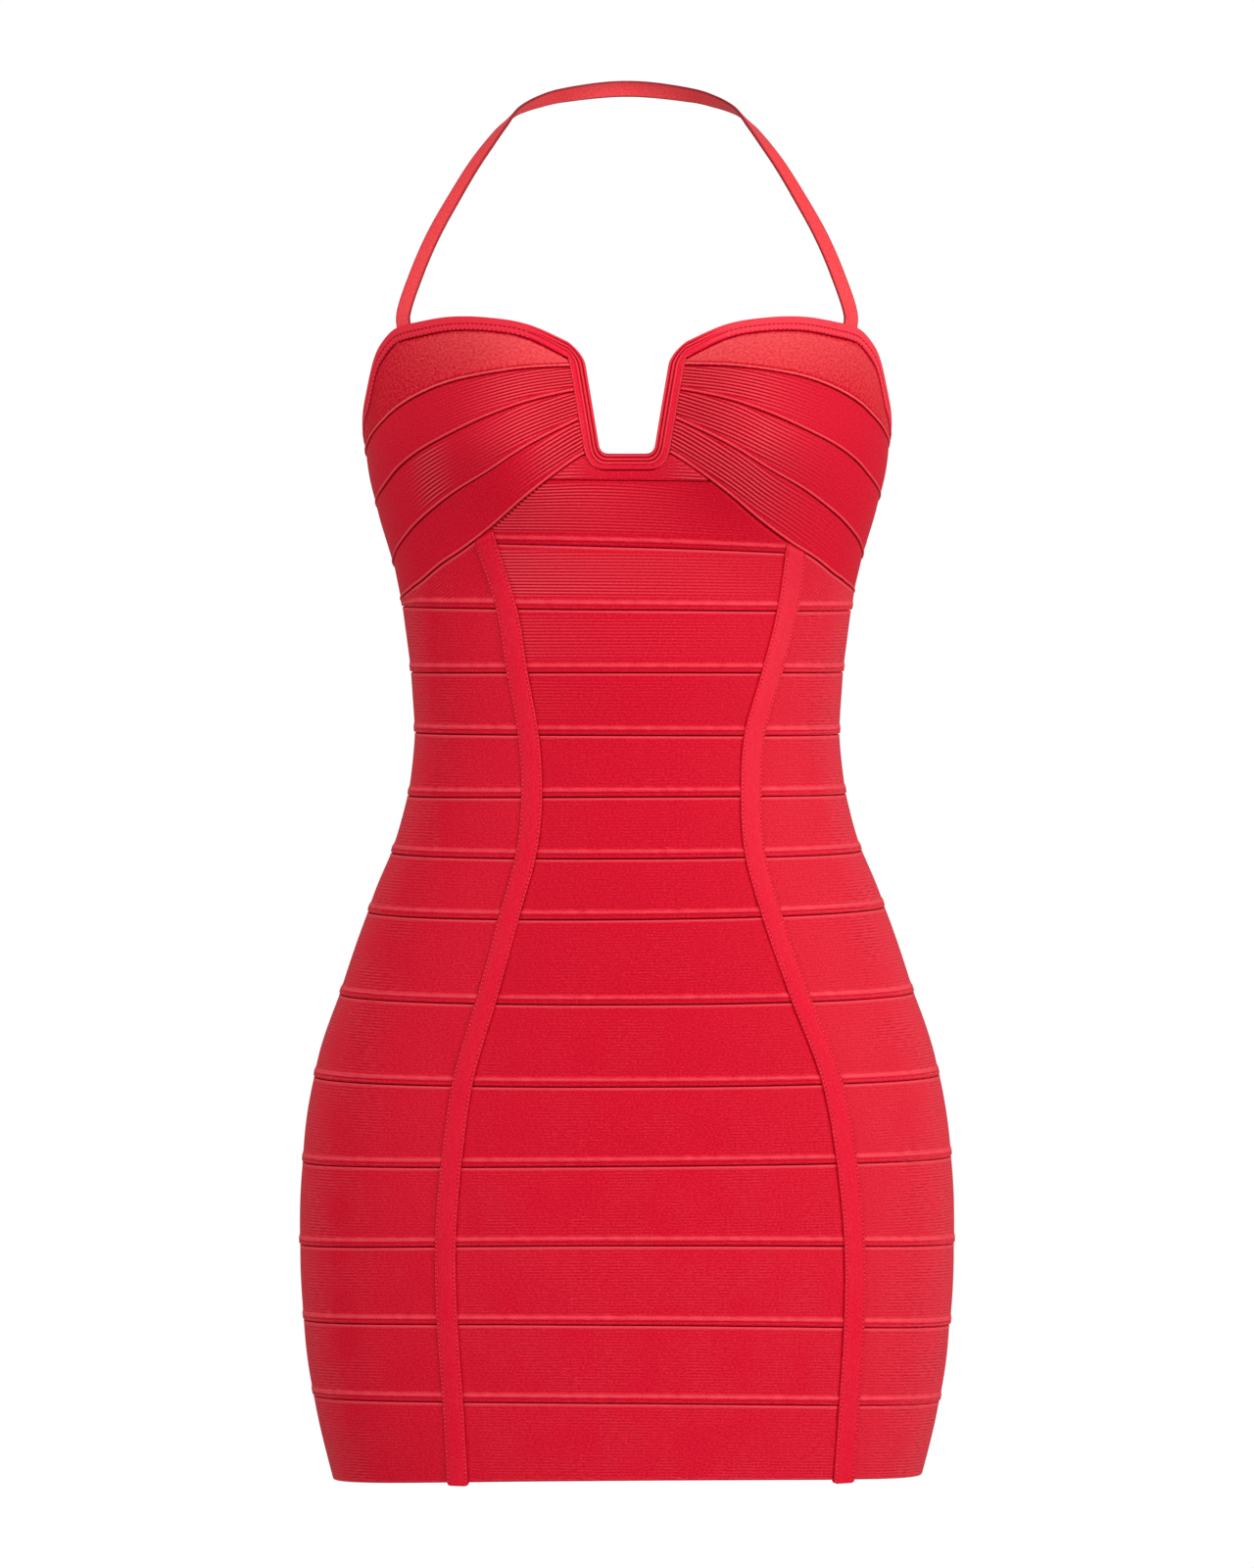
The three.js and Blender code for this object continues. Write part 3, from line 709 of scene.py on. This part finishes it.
def addWrapBands():
    inside = tape["width"] / 2 - knit["under"]
    start, leftTape = sampled(tapeSide("right", inside)), sampled(tapeSide("left", -inside))
    names = list(lines["seams"])
    first = names.index("underbust")
    for i in range(first + 1, len(names)):
        panel = {"top": below(seam(names[i - 1])), "bottom": seam(names[i]), "seed": 20 + i,
                 "start": start, "end": lambda drop: leftTape(drop) + 360}
        lip = knit["hemLip" if names[i] == "hem" else "lip"]
        wall = panelWall(panel, knit["tuck"], lip, knit["rows"]["wrap"], under=(True, True))
        addGlow(wall)
        addBand(f"wrapBand{i - first:02}", wall, sideStretch(wall), f"wrap_band_{i - first:02}")


def addSidePieces():
    inside = tape["width"] / 2 - knit["under"]
    side = lines["sideSeam"]
    limits = {
        "right": (sampled(tapeSide("right", inside)), lambda drop: side + 0 * drop, (True, False)),
        "left": (lambda drop: -side + 0 * drop, sampled(tapeSide("left", -inside)), (False, True)),
    }
    for name, (start, end, under) in limits.items():
        panel = {"top": below(cupLine("hem")), "bottom": seam("underbust"),
                 "start": start, "end": end, "seed": 41}
        rows = knit["rows"]["side"]
        wall = panelWall(panel, knit["tuck"], knit["lip"], rows, step=3, under=under)
        addGlow(wall)
        addBand("sidePiece" + name.title(), wall, sideStretch(wall), "side_piece_" + name)


def addUpperBack():
    side = lines["sideSeam"] - lines["sideTuck"]
    limits = {"start": lambda drop: side + 0 * drop, "end": lambda drop: 360 - side + 0 * drop}
    middle = lambda angle: lines["upperBack"] + 0 * angle
    rows = {"upper": (below(bindingLow), middle), "lower": (below(middle), seam("underbust"))}
    for k, (name, (top, bottom)) in enumerate(rows.items()):
        panel = {"top": top, "bottom": bottom, "seed": 50 + k, **limits}
        meshRows = knit["rows"]["side"]
        wall = panelWall(panel, knit["tuck"], knit["lip"], meshRows, under=(True, True))
        addBand("backBand" + name.title(), wall, 1, "back_band_" + name)


# Stitches are joined beads of twisted thread, each with 20 faces
stitch = {"length": 1.9, "width": 0.55, "thickness": 0.45, "pitch": 2.8}


def surfaceRow(points, row):  # a row of a wall's points, with its outward direction
    ahead = np.gradient(points[row], axis=0)
    fall = points[row + 1] - points[row - 1]
    return points[row], unit(np.cross(fall, ahead))


def sewRow(bm, spots, outward, zigzag=0, pitch=None, length=None):
    path = pathLength(spots)
    pitch, length = pitch or stitch["pitch"], length or stitch["length"]
    sizes = (length, stitch["width"], stitch["thickness"])
    read = lambda rows, at: np.array([np.interp(at, path, rows[:, k]) for k in range(3)])
    for i, at in enumerate(np.arange(pitch, path[-1] - pitch / 2, pitch)):
        up = Vector(read(outward, at)).normalized()
        ahead = Vector(read(spots, at + length / 2) - read(spots, at - length / 2)).normalized()
        side = up.cross(ahead).normalized()
        swing = zigzag * (-1) ** i
        run = (ahead * length / 2 + side * swing).normalized()
        across = up.cross(run)
        place = Matrix([[*(v[k] * size / 2 * mm for v, size in zip((run, across, up), sizes)), 0]
                        for k in range(3)] + [[0, 0, 0, 1]])
        place.translation = (Vector(read(spots, at)) + up * 0.1) * mm
        bmesh.ops.create_icosphere(bm, subdivisions=1, radius=1, matrix=place)


def stitchPiece(name, bm):
    knitMap = bm.loops.layers.uv.new("knitMap")
    for face in bm.faces:
        face.smooth = True
        for loop in face.loops:
            loop[knitMap].uv = (loop.vert.co.x + loop.vert.co.y, loop.vert.co.z)
    dressPiece(meshPiece(name, bm), materials["sewingThread"], "knit_trim")


# Four bands fan out over each cup. Their ribs stand up by the notch, where the bands are narrow.
cups = {
    "bands": ["first", "second", "third", "hem"],
    "ribPitch": {"left": [0, 1.7, 1.75, 1.85], "right": [0, 1.85, 1.9, 1.9]},
    "ribSpread": 0.003,  # how much wider the pitch gets for each millimetre from the notch
    "ribRows": 120,  # mesh rows across a ribbed band
    "plainRows": 16,
    "step": 2.4,
    "ribShow": 0.06,  # how far the drawn ribs show between the modelled ones
    "stitchRow": 4,  # row of the lip that the stitches run along
    "nearHeight": [0, 0.75, 0.9, 0.9],  # rib height at the notch, band by band
    "reach": {"left": [1, 44, 40, 25], "right": [1, 48, 56, 62]},  # how far the ribs stay up
    "patchAt": 107, "patchReach": 15, "patchHeight": [0, 0, 0.34, 0],  # left cup only
    "paintedSheen": 0.62,  # painted sheen: how much lighter the top band of each cup is painted at its upper inner end
    "paintedSheenReach": {"left": 105, "right": 170},
    "seamStitches": 62,  # how far the stitches of a cup seam show from the notch
}


def addCups():
    thread = bmesh.new()
    for side, sign in (("left", -1), ("right", 1)):
        start = sampled(notchLimit(sign))
        end = lambda drop, s=sign: s * lines["sideSeam"] + 0 * drop
        for k, name in enumerate(cups["bands"]):
            top = cupLine(cups["bands"][k - 1]) if k else bindingLow
            panel = {"top": below(top), "bottom": cupLine(name),
                     "start": start, "end": end, "seed": 60 + 5 * k + sign}

            def height(u, along, k=k, side=side):
                near = cups["nearHeight"][k] * np.exp(-((along / cups["reach"][side][k]) ** 2))
                patch = np.exp(-(((along - cups["patchAt"]) / cups["patchReach"]) ** 2))
                return near + (side == "left") * cups["patchHeight"][k] * patch
            ribs = fannedRibs(cups["ribPitch"][side][k], cups["ribSpread"], height) if k else None
            rows = cups["ribRows"] if k else cups["plainRows"]
            wall = panelWall(panel, knit["cupTuck"], knit["cupLip"], rows, ribs,
                             step=cups["step"], under=(True, False))
            lip = len(knit["cupTuck"]) + rows
            if not k:
                # painted sheen on the top band, fading along it and down from its upper edge
                near = np.clip(1.35 - wall["along"] / cups["paintedSheenReach"][side], 0, 1)
                paintedSheen = cups["paintedSheen"] * near * np.clip(1 - wall["down"] / 44, 0, 1)
                wall["tone"][lip - rows:lip] += paintedSheen[lip - rows:lip]
            addBand(f"cup{side.title()}{k + 1}", wall, cups["ribShow"],
                    f"cup_band_{side}_{k + 1:02}", "bandageKnit" if k else "mottledPaintedSheenKnit")
            if k < 3:
                row = lip + cups["stitchRow"]
                spots, outward = surfaceRow(wall["points"], row)
                near = (wall["along"][row] > 4) & (wall["along"][row] < cups["seamStitches"])
                sewRow(thread, spots[near], sign * outward[near], zigzag=1.1, pitch=2, length=1.3)
    stitchPiece("cupStitches", thread)


def addTapes():
    half = tape["width"] / 2
    rise = tape["rise"]
    # the tone is painted shade at the sides and in the stitch grooves, and painted light on the raised
    # rows
    shape = np.array([  # across, lift and tone
        [-half, -knit["wall"], -0.7], [-half, 0.3, -0.5], [-half + 0.1, 0.75, 0],
        [-half + 0.25, rise - 0.2, 0.2], [-half + 0.5, rise - 0.02, 0.2],
        [-half + 0.75, rise - 0.12, -0.2], [-half + 1, rise - 0.25, -0.6],
        [-half + 1.25, rise - 0.12, -0.2], [-half + 1.6, rise, 0.05],
        [0, rise + 0.05, 0], [half - 1.6, rise, 0.05], [half - 1.25, rise - 0.12, -0.2],
        [half - 1, rise - 0.25, -0.6], [half - 0.75, rise - 0.12, -0.2],
        [half - 0.5, rise - 0.02, 0.2], [half - 0.25, rise - 0.2, 0.2], [half - 0.1, 0.75, 0],
        [half, 0.3, -0.5], [half, -knit["wall"], -0.7], [0, -knit["wall"], 0],
        [-half, -knit["wall"], -0.7],
    ])
    hem = cupLine("hem")
    thread = bmesh.new()
    for side in ("left", "right"):
        middle = tapeSide(side, 0)
        start = float(hem(middle(tape["lines"][0][0]))) - 1.5
        end = float(seam("hem")(middle(tape["lines"][-1][0]))) + tape["tail"]
        straight = np.linspace(start + 5, end - tape["cornerRound"], tape["steps"])
        corner = end - tape["cornerRound"] * np.array([0.8, 0.6, 0.42, 0.27, 0.15, 0.07, 0.02, 0])
        drops = np.concatenate([start + np.array([0, 1.2, 1.9, 2.6, 3.4]), straight, corner])
        sunk = (rise + 1.8) * np.clip((3.4 + start - drops) / 2.2, 0, 1) ** 0.7
        points, downs = [], []
        past = np.clip(drops - end + tape["cornerRound"], 0, None) / tape["cornerRound"]
        narrowing = 1 - tape["cornerRound"] * (1 - np.sqrt(1 - past ** 2)) / half
        for offset, lift, tone in shape:
            angle = tapeSide(side, offset * narrowing)(drops)
            slant = (hem(angle) - 1.5 - start) * np.clip(1 - (drops - start) / 12, 0, 1)
            wave = 0.12 * unevenness(drops, offset + 0 * drops, 24, 7) * (lift > 0)
            points.append(liftedPoint(angle, drops + slant, lift + wave - sunk))
            downs.append(offset + 0 * drops)
        points = np.array(points)
        along = np.array([pathLength(points[0])] * len(shape))
        wall = {"points": points, "along": along, "down": np.array(downs),
                "tone": shape[:, 2:] + tape["glow"][side] * np.clip((500 - drops) / 200, 0, 1)}
        piece = wallPiece("tape" + side.title(), wall, 0.5)
        dressPiece(piece, materials["trimKnit"], "knit_trim", "tape_" + side)
        for row in tape["grooves"]:
            spots, inward = surfaceRow(points[:, tape["sunkSteps"]:], row)
            sewRow(thread, spots, -inward, zigzag=0.25, pitch=2.4, length=1.2)
    stitchPiece("tapeStitches", thread)


# One binding goes over the left cup, round the notch and over the right cup
def bindingPath():
    top, bottom = trim["notchTop"], trim["notchBottom"]
    width = trim["width"]
    spot = lambda out, drop: np.array([float(out), float(drop)])
    side = lambda drop, offset: spot(notchOut(drop, offset), drop)
    mouthOut = notchOut(top["drop"], width)
    mouthAngle = float(angleAt(mouthOut, top["drop"]))
    mouth = spot(mouthOut, topEdge(mouthAngle))
    shoulder = side(float(bindingLow(mouthAngle)), width)
    base = bottom["drop"] + width
    outerRound = bottom["round"] + width / 2
    neck, foot = top["drop"] + top["round"], bottom["drop"] - bottom["round"]
    outerFoot = base - outerRound - width / 2
    heel = notchOut(bottom["drop"], 0) - bottom["round"]
    outerHeel = notchOut(base, width) - outerRound
    straight = lambda a, b: [a, (a + b) / 2, b]
    bends = [
        (8, [mouth, spot(top["out"], top["drop"]), side(neck, 0)],
         straight(shoulder, side(neck, width))),
        (14, straight(side(neck, 0), side(foot, 0)),
         straight(side(neck, width), side(outerFoot, width))),
        (10, [side(foot, 0), side(bottom["drop"], 0), spot(heel, bottom["drop"])],
         [side(outerFoot, width), side(base, width), spot(outerHeel, base)]),
        (8, straight(spot(heel, bottom["drop"]), spot(0, bottom["drop"])),
         straight(spot(outerHeel, base), spot(0, base))),
    ]
    edge, line = [], []
    for angle in np.linspace(lines["sideSeam"], mouthAngle, trim["sideSteps"])[:-1]:
        drop = float(topEdge(angle))
        low = float(bindingLow(angle))
        edge.append([float(formPoint(angle, drop)[0]), drop, angle])
        line.append([float(formPoint(angle, low)[0]), low, angle])
    parabola = lambda c, t: c[0] * (1 - t) ** 2 + 2 * c[1] * t * (1 - t) + c[2] * t ** 2
    for k, (steps, inner, outer) in enumerate(bends):
        steps = 2 * steps
        for i in range(steps + (k == len(bends) - 1)):
            for curve, row in ((inner, edge), (outer, line)):
                x, drop = parabola(curve, i / steps)
                row.append([x, drop, float(angleAt(x, drop))])
    edge, line = np.array(edge), np.array(line)
    turned = np.array([-1, 1, -1])
    return np.vstack([edge * turned, edge[-2::-1]]), np.vstack([line * turned, line[-2::-1]])


def addTopBinding():
    edge, line = bindingPath()
    pitch = trim["ribPitch"] / trim["width"]
    groove = trim["stitchLine"]
    grooveRows = groove + np.array([-0.1, -0.05, -0.02, 0, 0.02, 0.05, 0.1])
    shares = np.concatenate([
        [0, 0, 0.01, 0.03], np.arange(1, 6 * trim["ribs"]) / 6 * pitch,
        [trim["ribs"] * pitch, 0.72, 0.78, 0.86, 0.91, 0.94, 0.97, 1, 1],
    ])
    shares = np.sort(np.concatenate([shares, grooveRows]))
    path = pathLength(formPoint(edge[:, 2], edge[:, 1]))
    mouthStart, mouthEnd = path[trim["sideSteps"] - 1], path[-trim["sideSteps"]]
    outside = np.maximum(mouthStart - path, path - mouthEnd)
    ribbed = 1 / (1 + np.exp((outside - 14) / 5))
    lift, tone = [], []
    for share in shares:
        wave = float(rounded(share / pitch)) ** 0.8 if share < trim["ribs"] * pitch else 0.25
        rib = trim["ribValley"] + (trim["ribRise"] - trim["ribValley"]) * wave
        fold = trim["rise"] * (1 - (1 - min(share / 0.12, 1)) ** 2) ** 0.5
        sewn = math.exp(-(((share - groove) / 0.04) ** 2))
        sewn += 0.6 * math.exp(-(((share - 0.95) / 0.03) ** 2))
        plain = fold + 0.3 * math.sin(math.pi * share) - 0.55 * sewn
        lift.append(rib * ribbed + plain * (1 - ribbed))
        # painted light and shade: shade in the rib valleys and stitch grooves, light on the ribs, and
        # the plain part lighter towards the right side, where the lamps are
        ribTone = 2.1 * wave - 1.4 if share < trim["ribs"] * pitch else 0.1
        plainTone = 0.36 + 0.34 * np.clip(edge[:, 0] / 50, 0, 1) - 1.7 * sewn
        tone.append(ribTone * ribbed + plainTone * (1 - ribbed))
    lift, tone = np.array(lift), np.array(tone)
    lift[0] = lift[-1] = -knit["wall"]
    lift[1] = -0.4
    lift[-2] = -0.2
    lift[-3] *= 0.75
    # painted shade along both edges of the binding
    tone[:2] = -1
    tone[-2:] = -0.6
    angle = edge[:, 2] * (1 - shares[:, None]) + line[:, 2] * shares[:, None]
    drop = edge[:, 1] * (1 - shares[:, None]) + line[:, 1] * shares[:, None]
    x = edge[:, 0] * (1 - shares[:, None]) + line[:, 0] * shares[:, None]
    inNotch = outside < 0
    angle = np.where(inNotch, angleAt(x, drop), angle)
    order = np.concatenate([np.arange(len(shares)), [len(shares) // 2, 0]])
    surface = liftedPoint(angle, drop, lift)
    points = surface[order]
    points[-2] = liftedPoint(angle, drop, -knit["wall"] + 0 * lift)[len(shares) // 2]
    wall = {"points": points, "along": path + 0 * points[..., 0],
            "down": (shares[:, None] * trim["width"] + 0 * lift)[order], "tone": tone[order]}
    piece = wallPiece("topBinding", wall, 0.4)
    dressPiece(piece, materials["trimKnit"], "knit_trim",
               "top_binding_left", "notch_binding", "top_binding_right")
    thread = bmesh.new()
    grooveRow = int(np.argmin(np.abs(shares - groove)))
    seamRow = int(np.argmin(np.abs(shares - 0.94)))
    for row in (grooveRow, seamRow):
        spots, outward = surfaceRow(surface, row)
        for part in (path < mouthStart - trim["sewnFrom"], path > mouthEnd + trim["sewnFrom"]):
            sewRow(thread, spots[part], outward[part])
    spots, outward = surfaceRow(surface, len(shares) - 4)
    byNotch, baseHalf = outside < trim["zigzagTo"], trim["zigzagOut"]
    for part in (byNotch & (x[0] < -baseHalf), byNotch & (x[0] > baseHalf)):
        sewRow(thread, spots[part], outward[part], zigzag=0.75, pitch=1.25, length=1.5)
    stitchPiece("bindingStitches", thread)


def addBackBinding():
    side = lines["sideSeam"]
    panel = {"top": topEdge, "bottom": bindingLow, "seed": 5,
             "start": lambda drop: side + 0 * drop, "end": lambda drop: 360 - side + 0 * drop}
    # rows of distance, lift and tone; the tone is painted shade in the stitch groove and along the
    # edges, with a little painted light on the fold
    fold = [[0, -0.4, -1], [0.1, 0.3, -0.5], [0.5, 0.75, 0], [1.1, 0.95, 0.2], [2, 1.05, 0.1],
            [4, 1.15, 0.1], [4.7, 1.05, 0.1], [5.05, 0.8, -0.5], [5.3, 0.6, -1], [5.55, 0.8, -0.5],
            [5.9, 1, 0.1]]
    low = [[1.2, 1, 0.1], [0.7, 0.85, 0], [0.4, 0.55, -0.7], [0.15, 0.3, -0.9], [0, -0.3, -1]]
    middleRows = 2
    groove, lastGroove = 8, len(fold) + middleRows + 2  # rows where the stitches run
    wall = panelWall(panel, fold, low, middleRows, step=3)
    piece = wallPiece("backBinding", wall, 0.4)
    dressPiece(piece, materials["trimKnit"], "knit_trim", "back_binding")
    thread = bmesh.new()
    for row in (groove, lastGroove):
        sewRow(thread, *surfaceRow(wall["points"], row))
    stitchPiece("backBindingStitches", thread)


# The halter strap: inner face, with how far its outer face is turned from the front about its
# length, 90 on its outer side and 180 at the back
strap = {
    "base": 58,  # angle where it is sewn in behind the binding
    "width": 9.2,
    "thickness": 1.6,
    "steps": 360,  # mesh steps along it
    "route": [
        [124, -131, -129.5, 29],
        [117, -124, -107.6, 31],
        [107.7, -115, -85.7, 34],
        [95.7, -103, -63.7, 40],
        [85.8, -92, -47, 47],
        [78.2, -84, -35.9, 54],
        [70, -66.5, -24.5, 67],
        [65.3, -54.5, -18.7, 85],
        [62.1, -47, -15.4, 99],
        [57.9, -39, -12.5, 112],
        [49.8, -27, -8.7, 129],
        [37.3, -13.5, -4.7, 146],
        [0, 0, 0, 180],
    ],
}


def smoothPath(points, knots, at):  # a curve through the points, even where they are unevenly spaced
    slope = np.zeros_like(points)
    step = np.diff(knots)[:, None]
    run = np.diff(points, axis=0) / step
    across = (points[2:] - points[:-2]) / (step[1:] + step[:-1])
    slope[1:-1] = run[:-1] + run[1:] - across
    slope[0], slope[-1] = run[0], run[-1]
    i = np.clip(np.searchsorted(knots, at) - 1, 0, len(knots) - 2)
    span = (knots[i + 1] - knots[i])[:, None]
    t = ((at - knots[i]) / span[:, 0])[:, None]
    bend = span * (t * (1 - t) ** 2 * slope[i] + t * t * (t - 1) * slope[i + 1])
    return points[i] + (points[i + 1] - points[i]) * t * t * (3 - 2 * t) + bend


def addStrap():
    base = strap["base"]
    edge = float(topEdge(base))
    behind = -knit["wall"] - strap["thickness"] - 0.2
    rows = [[*liftedPoint(base, edge + 10, behind), 29], [*liftedPoint(base, edge + 2, behind), 29]]
    rows = np.array(rows + strap["route"])
    mirrored = rows[-2::-1] * np.array([-1, 1, 1, 1])
    rows = np.vstack([rows, mirrored])
    spans = np.linalg.norm(np.diff(rows[:, :3], axis=0), axis=1)
    knots = np.concatenate([[0], np.cumsum(spans ** 0.5)])
    at = np.linspace(0, knots[-1], strap["steps"])
    centre = smoothPath(rows[:, :3], knots, at)
    turn = np.radians(np.interp(at, knots, rows[:, 3]))[:, None]
    ahead = unit(np.gradient(centre, axis=0))
    front = np.array([0, -1.0, 0]) + ahead * ahead[:, 1:2]
    front = unit(front)
    side = np.cross(ahead, front)
    outward = front * np.cos(turn) + side * np.sin(turn)
    across = np.cross(ahead, outward)
    half, thick = strap["width"] / 2, strap["thickness"]
    corner = [[1, 0.5], [0.97, 0.76], [0.92, 0.93], [0.85, 1], [0.78, 0.98], [0.68, 1.02]]
    shape = corner + [[0, 1.06]] + [[-w, t] for w, t in corner[::-1]]
    shape = np.array(shape + [[w, 1 - t] for w, t in shape[::-1][1:-1]] + [shape[0]])
    path = pathLength(centre)
    points = np.array([centre + across * w * half + outward * t * thick for w, t in shape])
    down = shape[:, :1] * half + 0 * path
    rim = -1.1 * np.clip((np.abs(shape[:, :1]) - 0.76) / 0.16, 0, 1)
    atNape = np.clip((np.degrees(turn[:, 0]) - 130) / 35, 0, 1)  # light from below, shade above
    tone = rim + atNape * (0.45 * shape[:, :1] - 0.2)
    wall = {"points": points, "along": path + 0 * down, "down": down, "tone": tone}
    piece = wallPiece("halterStrap", wall, 0.3)
    dressPiece(piece, materials["strapKnit"], "knit_strap", "halter_strap")


addFrontBands()
addNotchBand()
addWrapBands()
addSidePieces()
addUpperBack()
print("bands built")
addCups()
print("cups built")
addTapes()
addTopBinding()
addBackBinding()
addStrap()
print("trims and strap built")

# Stage, light and camera
studio = {
    "floorDrop": 1050,
    "floorSize": 40000,
    "white": "#ffffff",
    "roomFill": 0.36,  # how much the white walls give back on the cloth
    "floorFill": 0.34,
    "lights": {  # place, target, size in metres, power in watts
        "rightFront": {"at": (2.2, -2.4, -0.1), "aim": (0, -0.1, -0.45), "size": 1.4, "power": 44},
        "rightSide": {"at": (2.7, -0.9, 0.2), "aim": (0, -0.1, -0.45), "size": 1.2, "power": 21},
        "leftFront": {"at": (-2.3, -2.3, 0), "aim": (0, -0.1, -0.45), "size": 1.4, "power": 32},
        "top": {"at": (-0.2, -1.7, 2.2), "aim": (0, -0.1, -0.3), "size": 1.1, "power": 22},
    },
}
camera = {"distance": 5.0, "elevation": 2.5, "target": (0, -0.1, -0.3927), "lens": 204.5, "sensor": 36}


def whiteSurface(tree, out, glowKind, fill):
    ray = addNode(tree, "LightPath").outputs["Is Camera Ray"]
    level = addNode(tree, "MapRange", values={"To Min": fill, "To Max": 1.02},
                    links={"Value": ray})
    glow = addNode(tree, glowKind, values={"Color": linear(studio["white"])},
                   links={"Strength": level.outputs[0]})
    addNode(tree, out, links={"Surface": glow.outputs[0]})


def addStage():
    paper = bpy.data.materials.new("whitePaper")
    paper.use_nodes = True
    paper.node_tree.nodes.clear()
    whiteSurface(paper.node_tree, "OutputMaterial", "Emission", studio["floorFill"])
    bm = bmesh.new()
    bmesh.ops.create_grid(bm, x_segments=1, y_segments=1, size=studio["floorSize"] * mm / 2)
    bmesh.ops.translate(bm, verts=bm.verts, vec=(0, 0, -studio["floorDrop"] * mm))
    floor = meshPiece("studioFloor", bm)
    floor.data.materials.append(paper)
    world = bpy.data.worlds.new("whiteRoom")
    world.use_nodes = True
    world.node_tree.nodes.clear()
    whiteSurface(world.node_tree, "OutputWorld", "Background", studio["roomFill"])
    bpy.context.scene.world = world


def aimedAt(thing, place, target):
    thing.location = place
    back = Vector(place) - Vector(target)
    thing.rotation_euler = back.to_track_quat("Z", "Y").to_euler()


def addLights():
    for name, light in studio["lights"].items():
        lamp = bpy.data.lights.new(name, "AREA")
        lamp.shape, lamp.size, lamp.energy = "DISK", light["size"], light["power"]
        thing = bpy.data.objects.new(name, lamp)
        bpy.context.scene.collection.objects.link(thing)
        aimedAt(thing, light["at"], light["aim"])


def addCamera():
    lens = bpy.data.cameras.new("camera")
    lens.lens, lens.sensor_width, lens.sensor_fit = camera["lens"], camera["sensor"], "AUTO"
    thing = bpy.data.objects.new("camera", lens)
    bpy.context.scene.collection.objects.link(thing)
    rise = math.radians(camera["elevation"])
    back = Vector((0, -math.cos(rise), math.sin(rise))) * camera["distance"]
    target = Vector(camera["target"])
    aimedAt(thing, target + back, target)
    bpy.context.scene.camera = thing


addStage()
addLights()
addCamera()
bpy.context.scene.view_settings.view_transform = "Standard"
print("stage, lights and camera placed")
